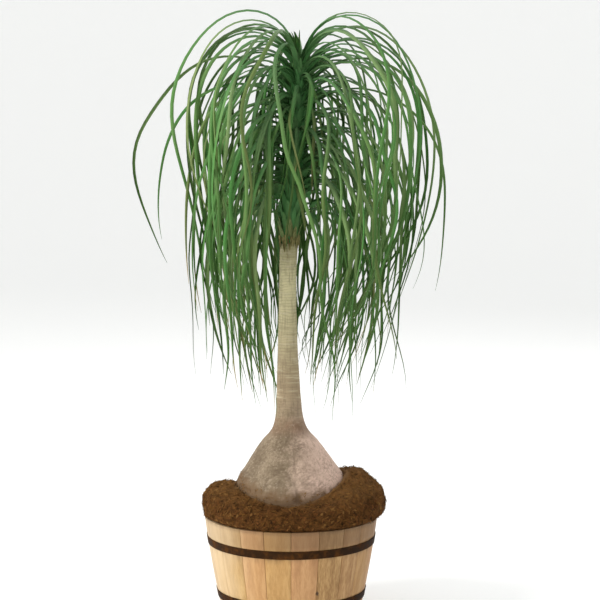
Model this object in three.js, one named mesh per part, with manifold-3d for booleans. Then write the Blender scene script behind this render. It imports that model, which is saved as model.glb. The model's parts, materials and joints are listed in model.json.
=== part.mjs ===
// A ponytail palm in a half-barrel tub, in millimetres, +Z up, with the front towards -Y.
// The origin is on the floor, at the centre of the tub's foot.
import * as THREE from 'three';
import { mergeVertices } from 'three/addons/utils/BufferGeometryUtils.js';
import Module from 'manifold-3d';

const wasm = await Module();
wasm.setup();

// Clearance between pieces that touch
const GAP = 0.3;

// Coopered tub: straight-grained staves, wider at the rim, with a slight bow
const TUB = {
  height: 300,
  rimRadius: 250,
  footRadius: 196,
  bow: 4,
  wall: 18,
  staves: 20,
  seam: 0.36,
  unevenDegrees: 1.2,
  levels: [0, 100, 200, 300],
};

// Groove cut round the inside of the staves, which holds the tub's floor
const CROZE = { bottom: 22, top: 39, depth: 7 };

// Floor of the tub: straight boards with open seams that let water out
const HEAD = { boards: 4, seam: 1.2, edgeGap: 0.5 };

// Steel hoops, each closed by a riveted lap at the back
const HOOP = { width: 24, thickness: 1.6, lapSink: 0.8, lapInsetDegrees: 1, lapDegrees: 85 };
const HOOP_HEIGHTS = { upper: 234, lower: 77 };
const RIVET = {
  headRadius: 5.5,
  headHeight: 2.4,
  headShoulder: 0.7,
  underHeadGap: 0.5,
  shankRadius: 2.6,
  spacing: 20,
  sides: 8,
};

// Potting soil, and the mulch that is heaped on it round the swollen stem
const SOIL_TOP = 286;
const SOIL_EDGE_GAP = 0.4;
const MULCH = {
  frontContact: 354,
  backContact: 380,
  besideContactRise: 17,
  rightContactRise: 24,
  contactFoot: 330,
  contactSlack: 2,
  frontCrest: 356,
  backCrest: 384,
  rightCrestRise: 49,
  frontCrestRadius: 176,
  backCrestRadius: 197,
  rightCrestPull: 12,
  rightShoulderPull: 30,
  leftCrestRise: 14,
  backLeftDip: 26,
  frontEdge: 249,
  sideEdge: 257,
  rightEdgeRise: 17,
  frontWaist: 311,
  sideWaist: 330,
  rightWaistRise: 26,
  seatInset: 7,
  lumps: 4,
  frontFalloff: 1.6,
  rightFalloff: 2.5,
  leftFalloff: 6,
  edgeRoundness: 0.85,
  crestRoundness: 0.9,
  innerSlopeOut: 0.45,
  innerSlopeUp: 0.62,
};
const MULCH_SWEEP = [0, 22, 45, 68, 90];
const MULCH_HOLE_STEPS = [0.25, 0.5, 0.75, 1];

// Height and radius of the swollen stem below, and of the slim trunk above it
const STEM_FOOT = 150;
const STEM = [
  [STEM_FOOT, 18], [190, 26], [230, 48], [262, 84], [SOIL_TOP, 115], [305, 135], [330, 152],
  [352, 160], [376, 162], [394, 158], [410, 153], [428, 142], [446, 129], [464, 118],
  [482, 106], [503, 91], [523, 76], [538, 60], [554, 49], [572, 43], [592, 39], [610, 37],
];
const TRUNK_TAPER = [[610, 37], [682, 33.5], [793, 28.5], [905, 25.5], [1014, 25], [1085, 26]];
const TRUNK = {
  sides: 20,
  bottom: 610,
  top: 1085,
  scarSpacing: 24,
  scarDepth: 0.9,
  barkFrom: 352,
  barkFades: [520, 620],
  barkDepth: 3,
};
// The stem bends a little to one side, and then leans to the other under its crown
const LEAN = { bend: 10, bendFrom: 430, bendLength: 870, shift: 24, shiftFrom: 1000, shiftTo: 1600 };
const CLEFT = { degrees: -82, height: 376, depth: 8, halfWidthDegrees: 9, halfHeight: 26 };

// Leafy head: a column of leaf bases that carries long, thin, arching leaves
const CROWN = {
  bottom: 1085.3,
  top: 1628,
  outline: [[1085.3, 28], [1280, 30], [1480, 29], [1580, 23], [1628, 10]],
  sides: 9,
};
const LEAF = {
  count: 144,
  rootRadius: 8,
  lowestRoot: 60,
  highestRoot: 12,
  keel: 2.1,
  tipKeel: 0.8,
  parting: 46,
  frontParting: 24,
  frontWidth: 28,
  trunkClearance: 54,
  clearBelow: 1000,
  clearSoftly: 0.4,
  freeAbove: 1440,
  frontFrom: 0.2,
  steps: 160,
  lowest: 606,
};
const LEAF_STATIONS = [0, 0.07, 0.15, 0.24, 0.35, 0.5, 0.72, 1];
const GOLDEN_ANGLE = THREE.MathUtils.degToRad(137.50776);

// From the oldest leaf to the youngest, and from the least to the most that chance adds
const LEAF_RANGES = {
  reach: [165, 345],
  spread: [0.5, 1.1],
  launch: [34, 76],
  launchScatter: [-9, 9],
  length: [640, 1250],
  lengthScatter: [0.82, 1.12],
  curl: [2, 36],
  sway: [-32, 32],
  scatter: [-8, 8],
  roll: [-75, 75],
  width: [10, 13],
  outerWidth: [11, 14],
};
const FULL_CURL_REACH = 240;

// Powers that favour one end of a range, and what a leaf's direction adds: 1 is to the right
const LEAF_BIAS = { reach: 0.6, length: 0.9, root: 0.75, spread: 0.5 };
const RIGHTWARD = { meanSpread: 1.03, spread: 0.07, length: 0.05 };
const FORWARD_LAUNCH_LOSS = 0.4;

// How a leaf bends over until it hangs, and then curls in, sways and drifts to one side
const BEND = {
  hangingDegrees: -91,
  sharpness: 1.5,
  curlFrom: 1.5,
  curlLength: 500,
  swayLength: 1000,
  swayGrowth: 1.3,
  driftFrom: 1.2,
  drift: 0.35,
  throwStep: 0.01,
  throwEnd: 6,
};

// How a leaf's width and roll change from its foot, at 0, to its tip, at 1
const BLADE = {
  rollFrom: 0.05,
  rollTo: 0.85,
  taperFrom: 0.35,
  taperGrowth: 1.5,
  tipLoss: 0.88,
  flare: 0.35,
  flareFade: 14,
};

// Leaves that make the outline: direction, height of the root, launch angle, reach, length,
// inward curl and sideways sway, in degrees and millimetres
const OUTER_LEAVES = [
  [180, 1612, 79, 345, 1190, 16, 4],
  [171, 1605, 74, 285, 1120, 18, -10],
  [190, 1590, 70, 322, 1130, 20, 8],
  [3, 1585, 66, 378, 1150, 16, 8],
  [-14, 1600, 76, 274, 1150, 20, 12],
  [12, 1605, 80, 185, 1000, 14, -10],
  [-6, 1570, 60, 345, 1050, 26, -12],
  [182, 1490, 60, 471, 980, 44, -4],
  [176, 1440, 56, 405, 760, 40, 8],
  [1, 1450, 44, 426, 900, 28, 4],
  [-4, 1500, 60, 414, 1000, 44, -8],
  [90, 1530, 46, 425, 1150, 14, 6],
  [-106, 1560, 64, 440, 1000, 12, -6],
];

const COLOURS = {
  wood: 0xc39c69,
  steel: 0x2c1d12,
  boards: 0x9c7a50,
  soil: 0x3a2a1d,
  mulch: 0x533a1e,
  bark: 0xa59080,
  leaf: 0x4b7a3c,
};

// Numbers that keep the random draws for different features apart
const DRAW = {
  direction: 1,
  launch: 2,
  curl: 3,
  spread: 4,
  length: 5,
  sway: 6,
  outerWidth: 7,
  width: 8,
  roll: 9,
  joint: 40,
  bark: 41,
  lumpOut: 50,
  lumpUp: 60,
  lumpInside: 70,
};

const radians = THREE.MathUtils.degToRad;
const mix = THREE.MathUtils.lerp;

// A repeatable number from 0 to 1 for one draw of one item
function draw(item, which) {
  const value = Math.sin(item * 127.1 + which * 311.7 + 7.3) * 43758.5453;
  return value - Math.floor(value);
}

function drawn([low, high], item, which) {
  return mix(low, high, draw(item, which));
}

function ease(value, start, end) {
  return THREE.MathUtils.smoothstep(value, start, end);
}

// Straight-line reading of a table of heights and radii
function radiusIn(table, z) {
  const next = Math.max(1, table.findIndex(([height]) => height >= z));
  const [z0, r0] = table[next - 1];
  const [z1, r1] = table[next];
  return mix(r0, r1, (z - z0) / (z1 - z0));
}

function around(radius, angle, z) {
  return new THREE.Vector3(radius * Math.cos(angle), radius * Math.sin(angle), z);
}

// Triangles across one flat, closed ring of points
function capTriangles(ring) {
  const middle = new THREE.Vector3();
  const normal = new THREE.Vector3();
  ring.forEach((point) => middle.addScaledVector(point, 1 / ring.length));
  ring.forEach((point, i) => {
    const a = point.clone().sub(middle);
    const b = ring[(i + 1) % ring.length].clone().sub(middle);
    normal.add(a.cross(b));
  });
  normal.normalize();
  const across = ring[0].clone().sub(middle).normalize();
  const up = normal.clone().cross(across);
  const outline = ring.map((point) => {
    const from = point.clone().sub(middle);
    return new THREE.Vector2(from.dot(across), from.dot(up));
  });
  return THREE.ShapeUtils.triangulateShape(outline, []);
}

// A closed surface through rings of points; a loop joins its last ring to its first
function skin(rings, isLoop = false) {
  const size = rings[0].length;
  const points = rings.flat();
  const index = [];
  const bands = isLoop ? rings.length : rings.length - 1;
  for (let band = 0; band < bands; band += 1) {
    const low = band * size;
    const high = ((band + 1) % rings.length) * size;
    for (let i = 0; i < size; i += 1) {
      const next = (i + 1) % size;
      index.push(low + i, low + next, high + next);
      index.push(low + i, high + next, high + i);
    }
  }
  if (!isLoop) {
    const last = (rings.length - 1) * size;
    capTriangles(rings[0]).forEach(([a, b, c]) => index.push(c, b, a));
    capTriangles(rings.at(-1)).forEach(([a, b, c]) => index.push(last + a, last + b, last + c));
  }
  const geometry = new THREE.BufferGeometry().setFromPoints(points);
  geometry.setIndex(index);
  return facingOut(geometry);
}

// Turns the faces round where the volume that they enclose comes out negative
function facingOut(geometry) {
  const index = geometry.getIndex();
  const position = geometry.getAttribute('position');
  const [a, b, c] = [new THREE.Vector3(), new THREE.Vector3(), new THREE.Vector3()];
  let volume = 0;
  for (let i = 0; i < index.count; i += 3) {
    a.fromBufferAttribute(position, index.getX(i));
    b.fromBufferAttribute(position, index.getX(i + 1));
    c.fromBufferAttribute(position, index.getX(i + 2));
    volume += a.dot(b.cross(c));
  }
  if (volume < 0) {
    geometry.setIndex(Array.from(index.array).reverse());
  }
  geometry.computeVertexNormals();
  return geometry;
}

function toSolid(source) {
  const bare = source.clone();
  bare.deleteAttribute('normal');
  bare.deleteAttribute('uv');
  const merged = mergeVertices(bare, 1e-4);
  return new wasm.Manifold(new wasm.Mesh({
    numProp: 3,
    vertProperties: new Float32Array(merged.getAttribute('position').array),
    triVerts: new Uint32Array(merged.getIndex().array),
  }));
}

function toGeometry(solid) {
  const mesh = solid.getMesh();
  const geometry = new THREE.BufferGeometry();
  geometry.setAttribute('position', new THREE.BufferAttribute(new Float32Array(mesh.vertProperties), 3));
  geometry.setIndex(Array.from(mesh.triVerts));
  geometry.computeVertexNormals();
  return geometry;
}

function piece(name, geometry, color, roughness, metalness = 0) {
  const material = new THREE.MeshStandardMaterial({ color, roughness, metalness });
  const mesh = new THREE.Mesh(geometry, material);
  mesh.name = name;
  return mesh;
}

// Tub
const TUB_OUTSIDE = TUB.levels.map((z) => {
  const t = z / TUB.height;
  return [z, mix(TUB.footRadius, TUB.rimRadius, t) + 4 * TUB.bow * t * (1 - t)];
});

function outside(z) {
  return radiusIn(TUB_OUTSIDE, z);
}

function inside(z) {
  return outside(z) - TUB.wall;
}

// Directions of the stave joints, and of the ridge in the middle of each stave's face
const JOINTS = Array.from({ length: TUB.staves }, (_, i) => {
  const shift = drawn([-TUB.unevenDegrees, TUB.unevenDegrees], i, DRAW.joint);
  return radians((i * 360) / TUB.staves + shift);
});

function joint(i) {
  const turns = Math.floor(i / TUB.staves);
  return JOINTS[i - turns * TUB.staves] + turns * 2 * Math.PI;
}

const STATIONS = JOINTS.flatMap((angle, i) => [angle, (angle + joint(i + 1)) / 2]);

// Half of the widest angle between two stations: a polygon's flats lie this much inside its circle
const WIDEST_STEP = (Math.PI / TUB.staves + radians(TUB.unevenDegrees)) / 2;

function stationRing(radiusAt, z) {
  return STATIONS.map((angle) => around(radiusAt(z), angle, z));
}

function stave(i) {
  const section = [
    ...TUB.levels.map((z) => [outside(z), z]),
    ...TUB.levels.slice(1).reverse().map((z) => [inside(z), z]),
    [inside(CROZE.top), CROZE.top],
    [inside(CROZE.top) + CROZE.depth, CROZE.top],
    [inside(CROZE.bottom) + CROZE.depth, CROZE.bottom],
    [inside(CROZE.bottom), CROZE.bottom],
    [inside(0), 0],
  ];
  const halfSeam = TUB.seam / 2 / outside(TUB.height / 2);
  const from = joint(i) + halfSeam;
  const to = joint(i + 1) - halfSeam;
  const rings = [from, (joint(i) + joint(i + 1)) / 2, to].map((angle) => (
    section.map(([radius, z]) => around(radius, angle, z))
  ));
  return skin(rings);
}

// The part of an outline that lies between two lines across it
function strip(outline, low, high) {
  let kept = outline;
  for (const [limit, sign] of [[low, 1], [high, -1]]) {
    const next = [];
    kept.forEach((point, i) => {
      const after = kept[(i + 1) % kept.length];
      const here = (point.y - limit) * sign;
      const there = (after.y - limit) * sign;
      if (here >= 0) {
        next.push(point);
      }
      if (here * there < 0) {
        next.push(point.clone().lerp(after, here / (here - there)));
      }
    });
    kept = next;
  }
  return kept;
}

function headBoard(i) {
  const radius = inside(CROZE.bottom) + CROZE.depth - HEAD.edgeGap;
  const outline = STATIONS.map((angle) => (
    new THREE.Vector2(radius * Math.cos(angle), radius * Math.sin(angle))
  ));
  const width = (2 * radius) / HEAD.boards;
  const low = -radius + i * width + HEAD.seam / 2;
  const board = new THREE.Shape(strip(outline, low, low + width - HEAD.seam));
  const depth = CROZE.top - CROZE.bottom - 2 * GAP;
  const geometry = new THREE.ExtrudeGeometry(board, { depth, bevelEnabled: false });
  geometry.translate(0, 0, CROZE.bottom + GAP);
  return geometry;
}

// Hoops and their rivets
const HOOP_SEAT = GAP / Math.cos(WIDEST_STEP);
const LAP_STATION = STATIONS.findIndex((angle) => angle > radians(HOOP.lapDegrees));

function hoopSection(centre, inner, outer) {
  const low = centre - HOOP.width / 2;
  const high = centre + HOOP.width / 2;
  return [
    [outside(low) + inner, low],
    [outside(low) + outer, low],
    [outside(high) + outer, high],
    [outside(high) + inner, high],
  ];
}

function bandGeometry(section, angles, isLoop) {
  return skin(angles.map((angle) => section.map(([radius, z]) => around(radius, angle, z))), isLoop);
}

// The flat where a hoop's ends lap: its middle, and the directions along and out of it
function lapFrame(centre) {
  const from = STATIONS[LAP_STATION];
  const to = STATIONS[LAP_STATION + 1];
  const low = centre - HOOP.width / 2;
  const high = centre + HOOP.width / 2;
  const corner = around(outside(low) + HOOP_SEAT, from, low);
  const along = around(outside(low) + HOOP_SEAT, to, low).sub(corner).normalize();
  const up = around(outside(high) + HOOP_SEAT, from, high).sub(corner);
  const out = along.clone().cross(up).normalize();
  const middle = around(outside(centre) + HOOP_SEAT, from, centre)
    .add(around(outside(centre) + HOOP_SEAT, to, centre))
    .multiplyScalar(0.5);
  return { middle, along, out };
}

// Moves a shape turned about +Y so that its axis points out of the lap at one rivet
function atRivet(geometry, centre, side) {
  const { middle, along, out } = lapFrame(centre);
  const seat = middle.clone().addScaledVector(along, (side * RIVET.spacing) / 2);
  const turn = new THREE.Quaternion().setFromUnitVectors(new THREE.Vector3(0, 1, 0), out);
  return geometry.applyQuaternion(turn).translate(seat.x, seat.y, seat.z);
}

function hoop(centre) {
  const ring = bandGeometry(hoopSection(centre, HOOP_SEAT, HOOP_SEAT + HOOP.thickness), STATIONS, true);
  const inset = radians(HOOP.lapInsetDegrees);
  const lapInner = HOOP_SEAT + HOOP.thickness - HOOP.lapSink;
  const lap = bandGeometry(
    hoopSection(centre, lapInner, HOOP_SEAT + 2 * HOOP.thickness),
    [STATIONS[LAP_STATION] + inset, STATIONS[LAP_STATION + 1] - inset],
    false,
  );
  let solid = toSolid(ring).add(toSolid(lap));
  const holeLength = HOOP.width;
  for (const side of [-1, 1]) {
    const radius = RIVET.shankRadius + GAP;
    const hole = new THREE.CylinderGeometry(radius, radius, holeLength, RIVET.sides);
    solid = solid.subtract(toSolid(atRivet(hole, centre, side)));
  }
  return toGeometry(solid);
}

function rivet(centre, side) {
  const underHead = 2 * HOOP.thickness + GAP + RIVET.underHeadGap;
  const profile = [
    [0, 0],
    [RIVET.shankRadius, 0],
    [RIVET.shankRadius, underHead],
    [RIVET.headRadius, underHead],
    [RIVET.headRadius * RIVET.headShoulder, underHead + RIVET.headHeight * RIVET.headShoulder],
    [0, underHead + RIVET.headHeight],
  ];
  const outline = profile.map(([radius, y]) => new THREE.Vector2(radius, y));
  return atRivet(new THREE.LatheGeometry(outline, RIVET.sides), centre, side);
}

// Swollen stem and trunk, with its slight lean
function stemRadius(z) {
  return z <= TRUNK.bottom ? radiusIn(STEM, z) : radiusIn(TRUNK_TAPER, z);
}

function stemLean(z) {
  const bent = THREE.MathUtils.clamp((z - LEAN.bendFrom) / LEAN.bendLength, 0, 1);
  return LEAN.shift * ease(z, LEAN.shiftFrom, LEAN.shiftTo) - LEAN.bend * Math.sin(Math.PI * bent);
}

function stemHole(z) {
  return (stemRadius(z) + GAP) / Math.cos(WIDEST_STEP);
}

function cleft(angle, z) {
  const turn = (angle - radians(CLEFT.degrees)) / radians(CLEFT.halfWidthDegrees);
  const rise = (z - CLEFT.height) / CLEFT.halfHeight;
  return CLEFT.depth * Math.exp(-turn * turn - rise * rise);
}

function trunk() {
  const scars = [];
  const lastScar = TRUNK.top - TRUNK.scarSpacing / 2;
  for (let z = TRUNK.bottom + TRUNK.scarSpacing; z < lastScar; z += TRUNK.scarSpacing) {
    scars.push(z);
  }
  const heights = [...STEM.map(([z]) => z), ...scars, TRUNK.top];
  const rings = heights.map((z, level) => {
    const isBare = z > TRUNK.barkFrom;
    const scar = z > TRUNK.bottom ? TRUNK.scarDepth * (level % 2) : 0;
    const barkDepth = isBare ? TRUNK.barkDepth * (1 - ease(z, ...TRUNK.barkFades)) : 0;
    const ring = [];
    for (let side = 0; side < TRUNK.sides; side += 1) {
      const angle = radians(CLEFT.degrees) + (side * 2 * Math.PI) / TRUNK.sides;
      const bark = barkDepth * draw(level * TRUNK.sides + side, DRAW.bark);
      const radius = stemRadius(z) - scar - bark - (isBare ? cleft(wrapped(angle), z) : 0);
      const point = around(radius, angle, z);
      point.x += stemLean(z);
      ring.push(point);
    }
    return ring;
  });
  return skin(rings);
}

function wrapped(angle) {
  return Math.atan2(Math.sin(angle), Math.cos(angle));
}

function pottingSoil() {
  const bottom = CROZE.top;
  const wall = [bottom, ...TUB.levels.slice(1, 3), SOIL_TOP];
  const outer = wall.map((z) => stationRing((height) => inside(height) - SOIL_EDGE_GAP, z));
  const depths = STEM.map(([z]) => z).filter((z) => z > STEM_FOOT && z <= SOIL_TOP).reverse();
  const hole = depths.map((z) => stationRing(stemHole, z));
  const floor = STATIONS.map((angle) => around(stemHole(STEM_FOOT), angle, STEM_FOOT - GAP));
  return skin([...outer, ...hole, floor]);
}

// Mulch
function mulchShape(angle) {
  const front = Math.max(0, -Math.sin(angle)) ** MULCH.frontFalloff;
  const rightward = Math.max(0, Math.cos(angle));
  const right = rightward ** MULCH.rightFalloff;
  const left = Math.max(0, -Math.cos(angle)) ** MULCH.leftFalloff;
  const back = 1 - front;
  const backLeft = Math.sin(angle) > 0 ? Math.max(0, -Math.sin(2 * angle)) : 0;
  const dip = backLeft * MULCH.backLeftDip;
  const beside = Math.abs(Math.cos(angle));
  const contactRise = beside * MULCH.besideContactRise + rightward * MULCH.rightContactRise;
  const crestRise = right * MULCH.rightCrestRise + left * MULCH.leftCrestRise;
  return {
    contact: mix(MULCH.backContact, MULCH.frontContact, front) + contactRise - dip,
    crest: mix(MULCH.backCrest, MULCH.frontCrest, front) + crestRise - dip,
    crestRadius: mix(MULCH.backCrestRadius, MULCH.frontCrestRadius, front) - right * MULCH.rightCrestPull,
    edge: mix(MULCH.frontEdge, MULCH.sideEdge, back) + right * MULCH.rightEdgeRise,
    waist: mix(MULCH.frontWaist, MULCH.sideWaist, back) + right * MULCH.rightWaistRise,
    shoulderPull: right * MULCH.rightShoulderPull,
  };
}

function mulchSection(angle, station) {
  const shape = mulchShape(angle);
  const seat = TUB.height + GAP;
  const lump = (which) => drawn([-MULCH.lumps, MULCH.lumps], station, which);
  const section = [
    [stemHole(SOIL_TOP + GAP), SOIL_TOP + GAP],
    [inside(SOIL_TOP + GAP) - SOIL_EDGE_GAP, SOIL_TOP + GAP],
    [inside(TUB.height) - SOIL_EDGE_GAP, seat],
    [shape.edge - MULCH.seatInset, seat],
  ];
  MULCH_SWEEP.forEach((degrees, which) => {
    const sweep = radians(degrees);
    const pull = shape.shoulderPull * Math.sin(2 * sweep) ** 2;
    const radius = mix(shape.crestRadius, shape.edge, Math.cos(sweep) ** MULCH.edgeRoundness) - pull;
    const z = mix(shape.waist, shape.crest, Math.sin(sweep) ** MULCH.crestRoundness);
    section.push([radius + lump(DRAW.lumpOut + which), z + lump(DRAW.lumpUp + which)]);
  });
  const contactRadius = stemHole(shape.contact) + MULCH.contactSlack;
  section.push([
    mix(contactRadius, shape.crestRadius, MULCH.innerSlopeOut),
    mix(shape.contact, shape.crest, MULCH.innerSlopeUp) + lump(DRAW.lumpInside) / 2,
  ]);
  section.push([contactRadius, shape.contact]);
  MULCH_HOLE_STEPS.forEach((part) => {
    const z = mix(shape.contact, MULCH.contactFoot, part);
    section.push([stemHole(z) + MULCH.contactSlack, z]);
  });
  const below = STEM.map(([z]) => z).filter((z) => z > SOIL_TOP && z < MULCH.contactFoot).reverse();
  below.forEach((z) => section.push([stemHole(z), z]));
  return section;
}

function mulch() {
  return skin(STATIONS.map((angle, station) => (
    mulchSection(angle, station).map(([radius, z]) => around(radius, angle, z))
  )), true);
}

// Leaves
function outerLeaf(i) {
  const [direction, root, launch, reach, length, curl, sway] = OUTER_LEAVES[i];
  return {
    direction: radians(direction),
    root,
    launch: radians(launch),
    reach,
    length,
    curl: radians(curl),
    sway: radians(sway),
    width: drawn(LEAF_RANGES.outerWidth, i, DRAW.outerWidth),
  };
}

// Turns a direction away from the front, where the leaves part
function parted(direction) {
  const fromFront = THREE.MathUtils.radToDeg(Math.atan2(-Math.cos(direction), -Math.sin(direction)));
  const push = radians(LEAF.frontParting) * Math.exp(-((fromFront / LEAF.frontWidth) ** 2));
  return direction - Math.sign(fromFront) * push;
}

function innerLeaf(i) {
  const ranges = LEAF_RANGES;
  const order = i - OUTER_LEAVES.length;
  const up = (order + 0.5) / (LEAF.count - OUTER_LEAVES.length);
  const direction = parted(order * GOLDEN_ANGLE + radians(drawn(ranges.scatter, i, DRAW.direction)));
  const [nearest, furthest] = ranges.spread;
  const rightward = Math.cos(direction);
  const spread = mix(nearest, furthest, draw(i, DRAW.spread) ** LEAF_BIAS.spread)
    * (RIGHTWARD.meanSpread + RIGHTWARD.spread * rightward);
  const reach = mix(...ranges.reach, up ** LEAF_BIAS.reach) * spread;
  const launch = mix(...ranges.launch, up) + drawn(ranges.launchScatter, i, DRAW.launch);
  const length = mix(...ranges.length, up ** LEAF_BIAS.length) * (1 + RIGHTWARD.length * rightward);
  return {
    direction,
    root: mix(CROWN.bottom + LEAF.lowestRoot, CROWN.top - LEAF.highestRoot, up ** LEAF_BIAS.root),
    launch: radians(launch * (1 - FORWARD_LAUNCH_LOSS * Math.sin(direction) ** 2)),
    reach,
    length: length * drawn(ranges.lengthScatter, i, DRAW.length),
    curl: radians(drawn(ranges.curl, i, DRAW.curl) * Math.min(1, reach / FULL_CURL_REACH)),
    sway: radians(drawn(ranges.sway, i, DRAW.sway)),
    width: drawn(ranges.width, i, DRAW.width),
  };
}

// Slope of a leaf that leaves at one angle and bends over until it hangs
function slope(launch, t) {
  return launch + (radians(BEND.hangingDegrees) - launch) * (1 - Math.exp(-(t ** BEND.sharpness)));
}

// How far out a leaf gets for each unit of its bending length
function throwOf(launch) {
  let sum = 0;
  for (let t = 0; t < BEND.throwEnd; t += BEND.throwStep) {
    sum += Math.cos(slope(launch, t + BEND.throwStep / 2)) * BEND.throwStep;
  }
  return sum;
}

// Keeps a hanging leaf on its own side of the trunk, and parts the leaves in front of it
function clearOfTrunk(point, out, aside) {
  const low = 1 - ease(point.z, LEAF.clearBelow, LEAF.freeAbove);
  const middle = stemLean(point.z);
  const outward = (point.x - middle) * out.x + point.y * out.y;
  const push = Math.hypot(Math.max(outward, 0), low * LEAF.trunkClearance) - outward;
  point.addScaledVector(out, push * ease(low, 0, LEAF.clearSoftly));
  if (out.y < LEAF.frontFrom) {
    const beside = aside * (point.x - middle);
    const apart = (beside + Math.hypot(beside, 2 * low * LEAF.parting)) / 2;
    point.x = mix(point.x, middle + aside * apart, ease(low, 0, LEAF.clearSoftly));
  }
}

function leafPath(leaf) {
  const bending = leaf.reach / throwOf(leaf.launch);
  const step = leaf.length / LEAF.steps;
  const lean = stemLean(leaf.root);
  const side = new THREE.Vector3(-Math.sin(leaf.direction), Math.cos(leaf.direction), 0);
  const place = around(LEAF.rootRadius, leaf.direction, leaf.root);
  const points = [place.clone()];
  for (let i = 0; i < LEAF.steps; i += 1) {
    const s = (i + 0.5) * step;
    const curled = Math.max(0, (s - BEND.curlFrom * bending) / BEND.curlLength);
    const tilt = slope(leaf.launch, s / bending) - leaf.curl * curled;
    const turn = leaf.direction + leaf.sway * (s / BEND.swayLength) ** BEND.swayGrowth;
    place.x += Math.cos(tilt) * Math.cos(turn) * step;
    place.y += Math.cos(tilt) * Math.sin(turn) * step;
    place.z += Math.sin(tilt) * step;
    const hanging = Math.max(0, s + step / 2 - BEND.driftFrom * bending);
    points.push(place.clone().addScaledVector(side, Math.sin(leaf.sway) * hanging * BEND.drift));
  }
  const out = around(1, leaf.direction, 0);
  const aside = Math.sign(points[LEAF.steps / 2].x);
  points.forEach((point) => {
    point.x += lean;
    clearOfTrunk(point, out, aside);
  });
  return points;
}

function leafBlade(i) {
  const leaf = i < OUTER_LEAVES.length ? outerLeaf(i) : innerLeaf(i);
  const mostRoll = radians(drawn(LEAF_RANGES.roll, i, DRAW.roll));
  const path = leafPath(leaf);
  const lowest = path.findIndex((point) => point.z < LEAF.lowest);
  const end = lowest > 0 ? lowest : LEAF.steps;
  const rings = LEAF_STATIONS.map((t) => {
    const at = Math.round(t * end);
    const point = path[at];
    const along = path[Math.min(at + 2, end)].clone().sub(path[Math.max(at - 2, 0)]).normalize();
    const across = new THREE.Vector3(-Math.sin(leaf.direction), Math.cos(leaf.direction), 0);
    across.addScaledVector(along, -across.dot(along)).normalize();
    const under = across.clone().cross(along).normalize();
    const roll = mostRoll * ease(t, BLADE.rollFrom, BLADE.rollTo);
    across.applyAxisAngle(along, roll);
    under.applyAxisAngle(along, roll);
    const tapered = Math.max(0, (t - BLADE.taperFrom) / (1 - BLADE.taperFrom)) ** BLADE.taperGrowth;
    const flared = 1 + BLADE.flare * Math.exp(-t * BLADE.flareFade);
    const halfWidth = (leaf.width * (1 - BLADE.tipLoss * tapered) * flared) / 2;
    const keel = mix(LEAF.keel, LEAF.tipKeel, t);
    return [
      point.clone().addScaledVector(across, halfWidth),
      point.clone().addScaledVector(across, -halfWidth),
      point.clone().addScaledVector(under, keel),
    ];
  });
  return skin(rings);
}

function crownColumn() {
  const rings = CROWN.outline.map(([z, radius]) => {
    const ring = [];
    for (let side = 0; side < CROWN.sides; side += 1) {
      const point = around(radius, (side * 2 * Math.PI) / CROWN.sides, z);
      point.x += stemLean(z);
      ring.push(point);
    }
    return ring;
  });
  return skin(rings);
}

// Joins the leaves to the column, and keeps the outer skin of what is joined
function leafCrown() {
  const solids = [toSolid(crownColumn())];
  for (let i = 0; i < LEAF.count; i += 1) {
    solids.push(toSolid(leafBlade(i)));
  }
  const joined = wasm.Manifold.union(solids);
  const bodies = joined.decompose();
  bodies.sort((a, b) => b.volume() - a.volume());
  return toGeometry(bodies[0]);
}

const palm = new THREE.Group();
for (let i = 0; i < TUB.staves; i += 1) {
  const name = `stave_${String(i + 1).padStart(2, '0')}`;
  palm.add(piece(name, stave(i), COLOURS.wood, 0.7));
}
for (let i = 0; i < HEAD.boards; i += 1) {
  palm.add(piece(`head_board_${i + 1}`, headBoard(i), COLOURS.boards, 0.8));
}
for (const [place, centre] of Object.entries(HOOP_HEIGHTS)) {
  palm.add(piece(`hoop_${place}`, hoop(centre), COLOURS.steel, 0.55, 0.6));
  palm.add(piece(`rivet_${place}_left`, rivet(centre, 1), COLOURS.steel, 0.5, 0.6));
  palm.add(piece(`rivet_${place}_right`, rivet(centre, -1), COLOURS.steel, 0.5, 0.6));
}
palm.add(piece('potting_soil', pottingSoil(), COLOURS.soil, 0.95));
palm.add(piece('mulch', mulch(), COLOURS.mulch, 0.95));
palm.add(piece('caudex_trunk', trunk(), COLOURS.bark, 0.85));
palm.add(piece('leaf_crown', leafCrown(), COLOURS.leaf, 0.5));

export default palm;
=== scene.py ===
import json
from math import atan2, copysign, cos, exp, pi, radians, sin

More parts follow.
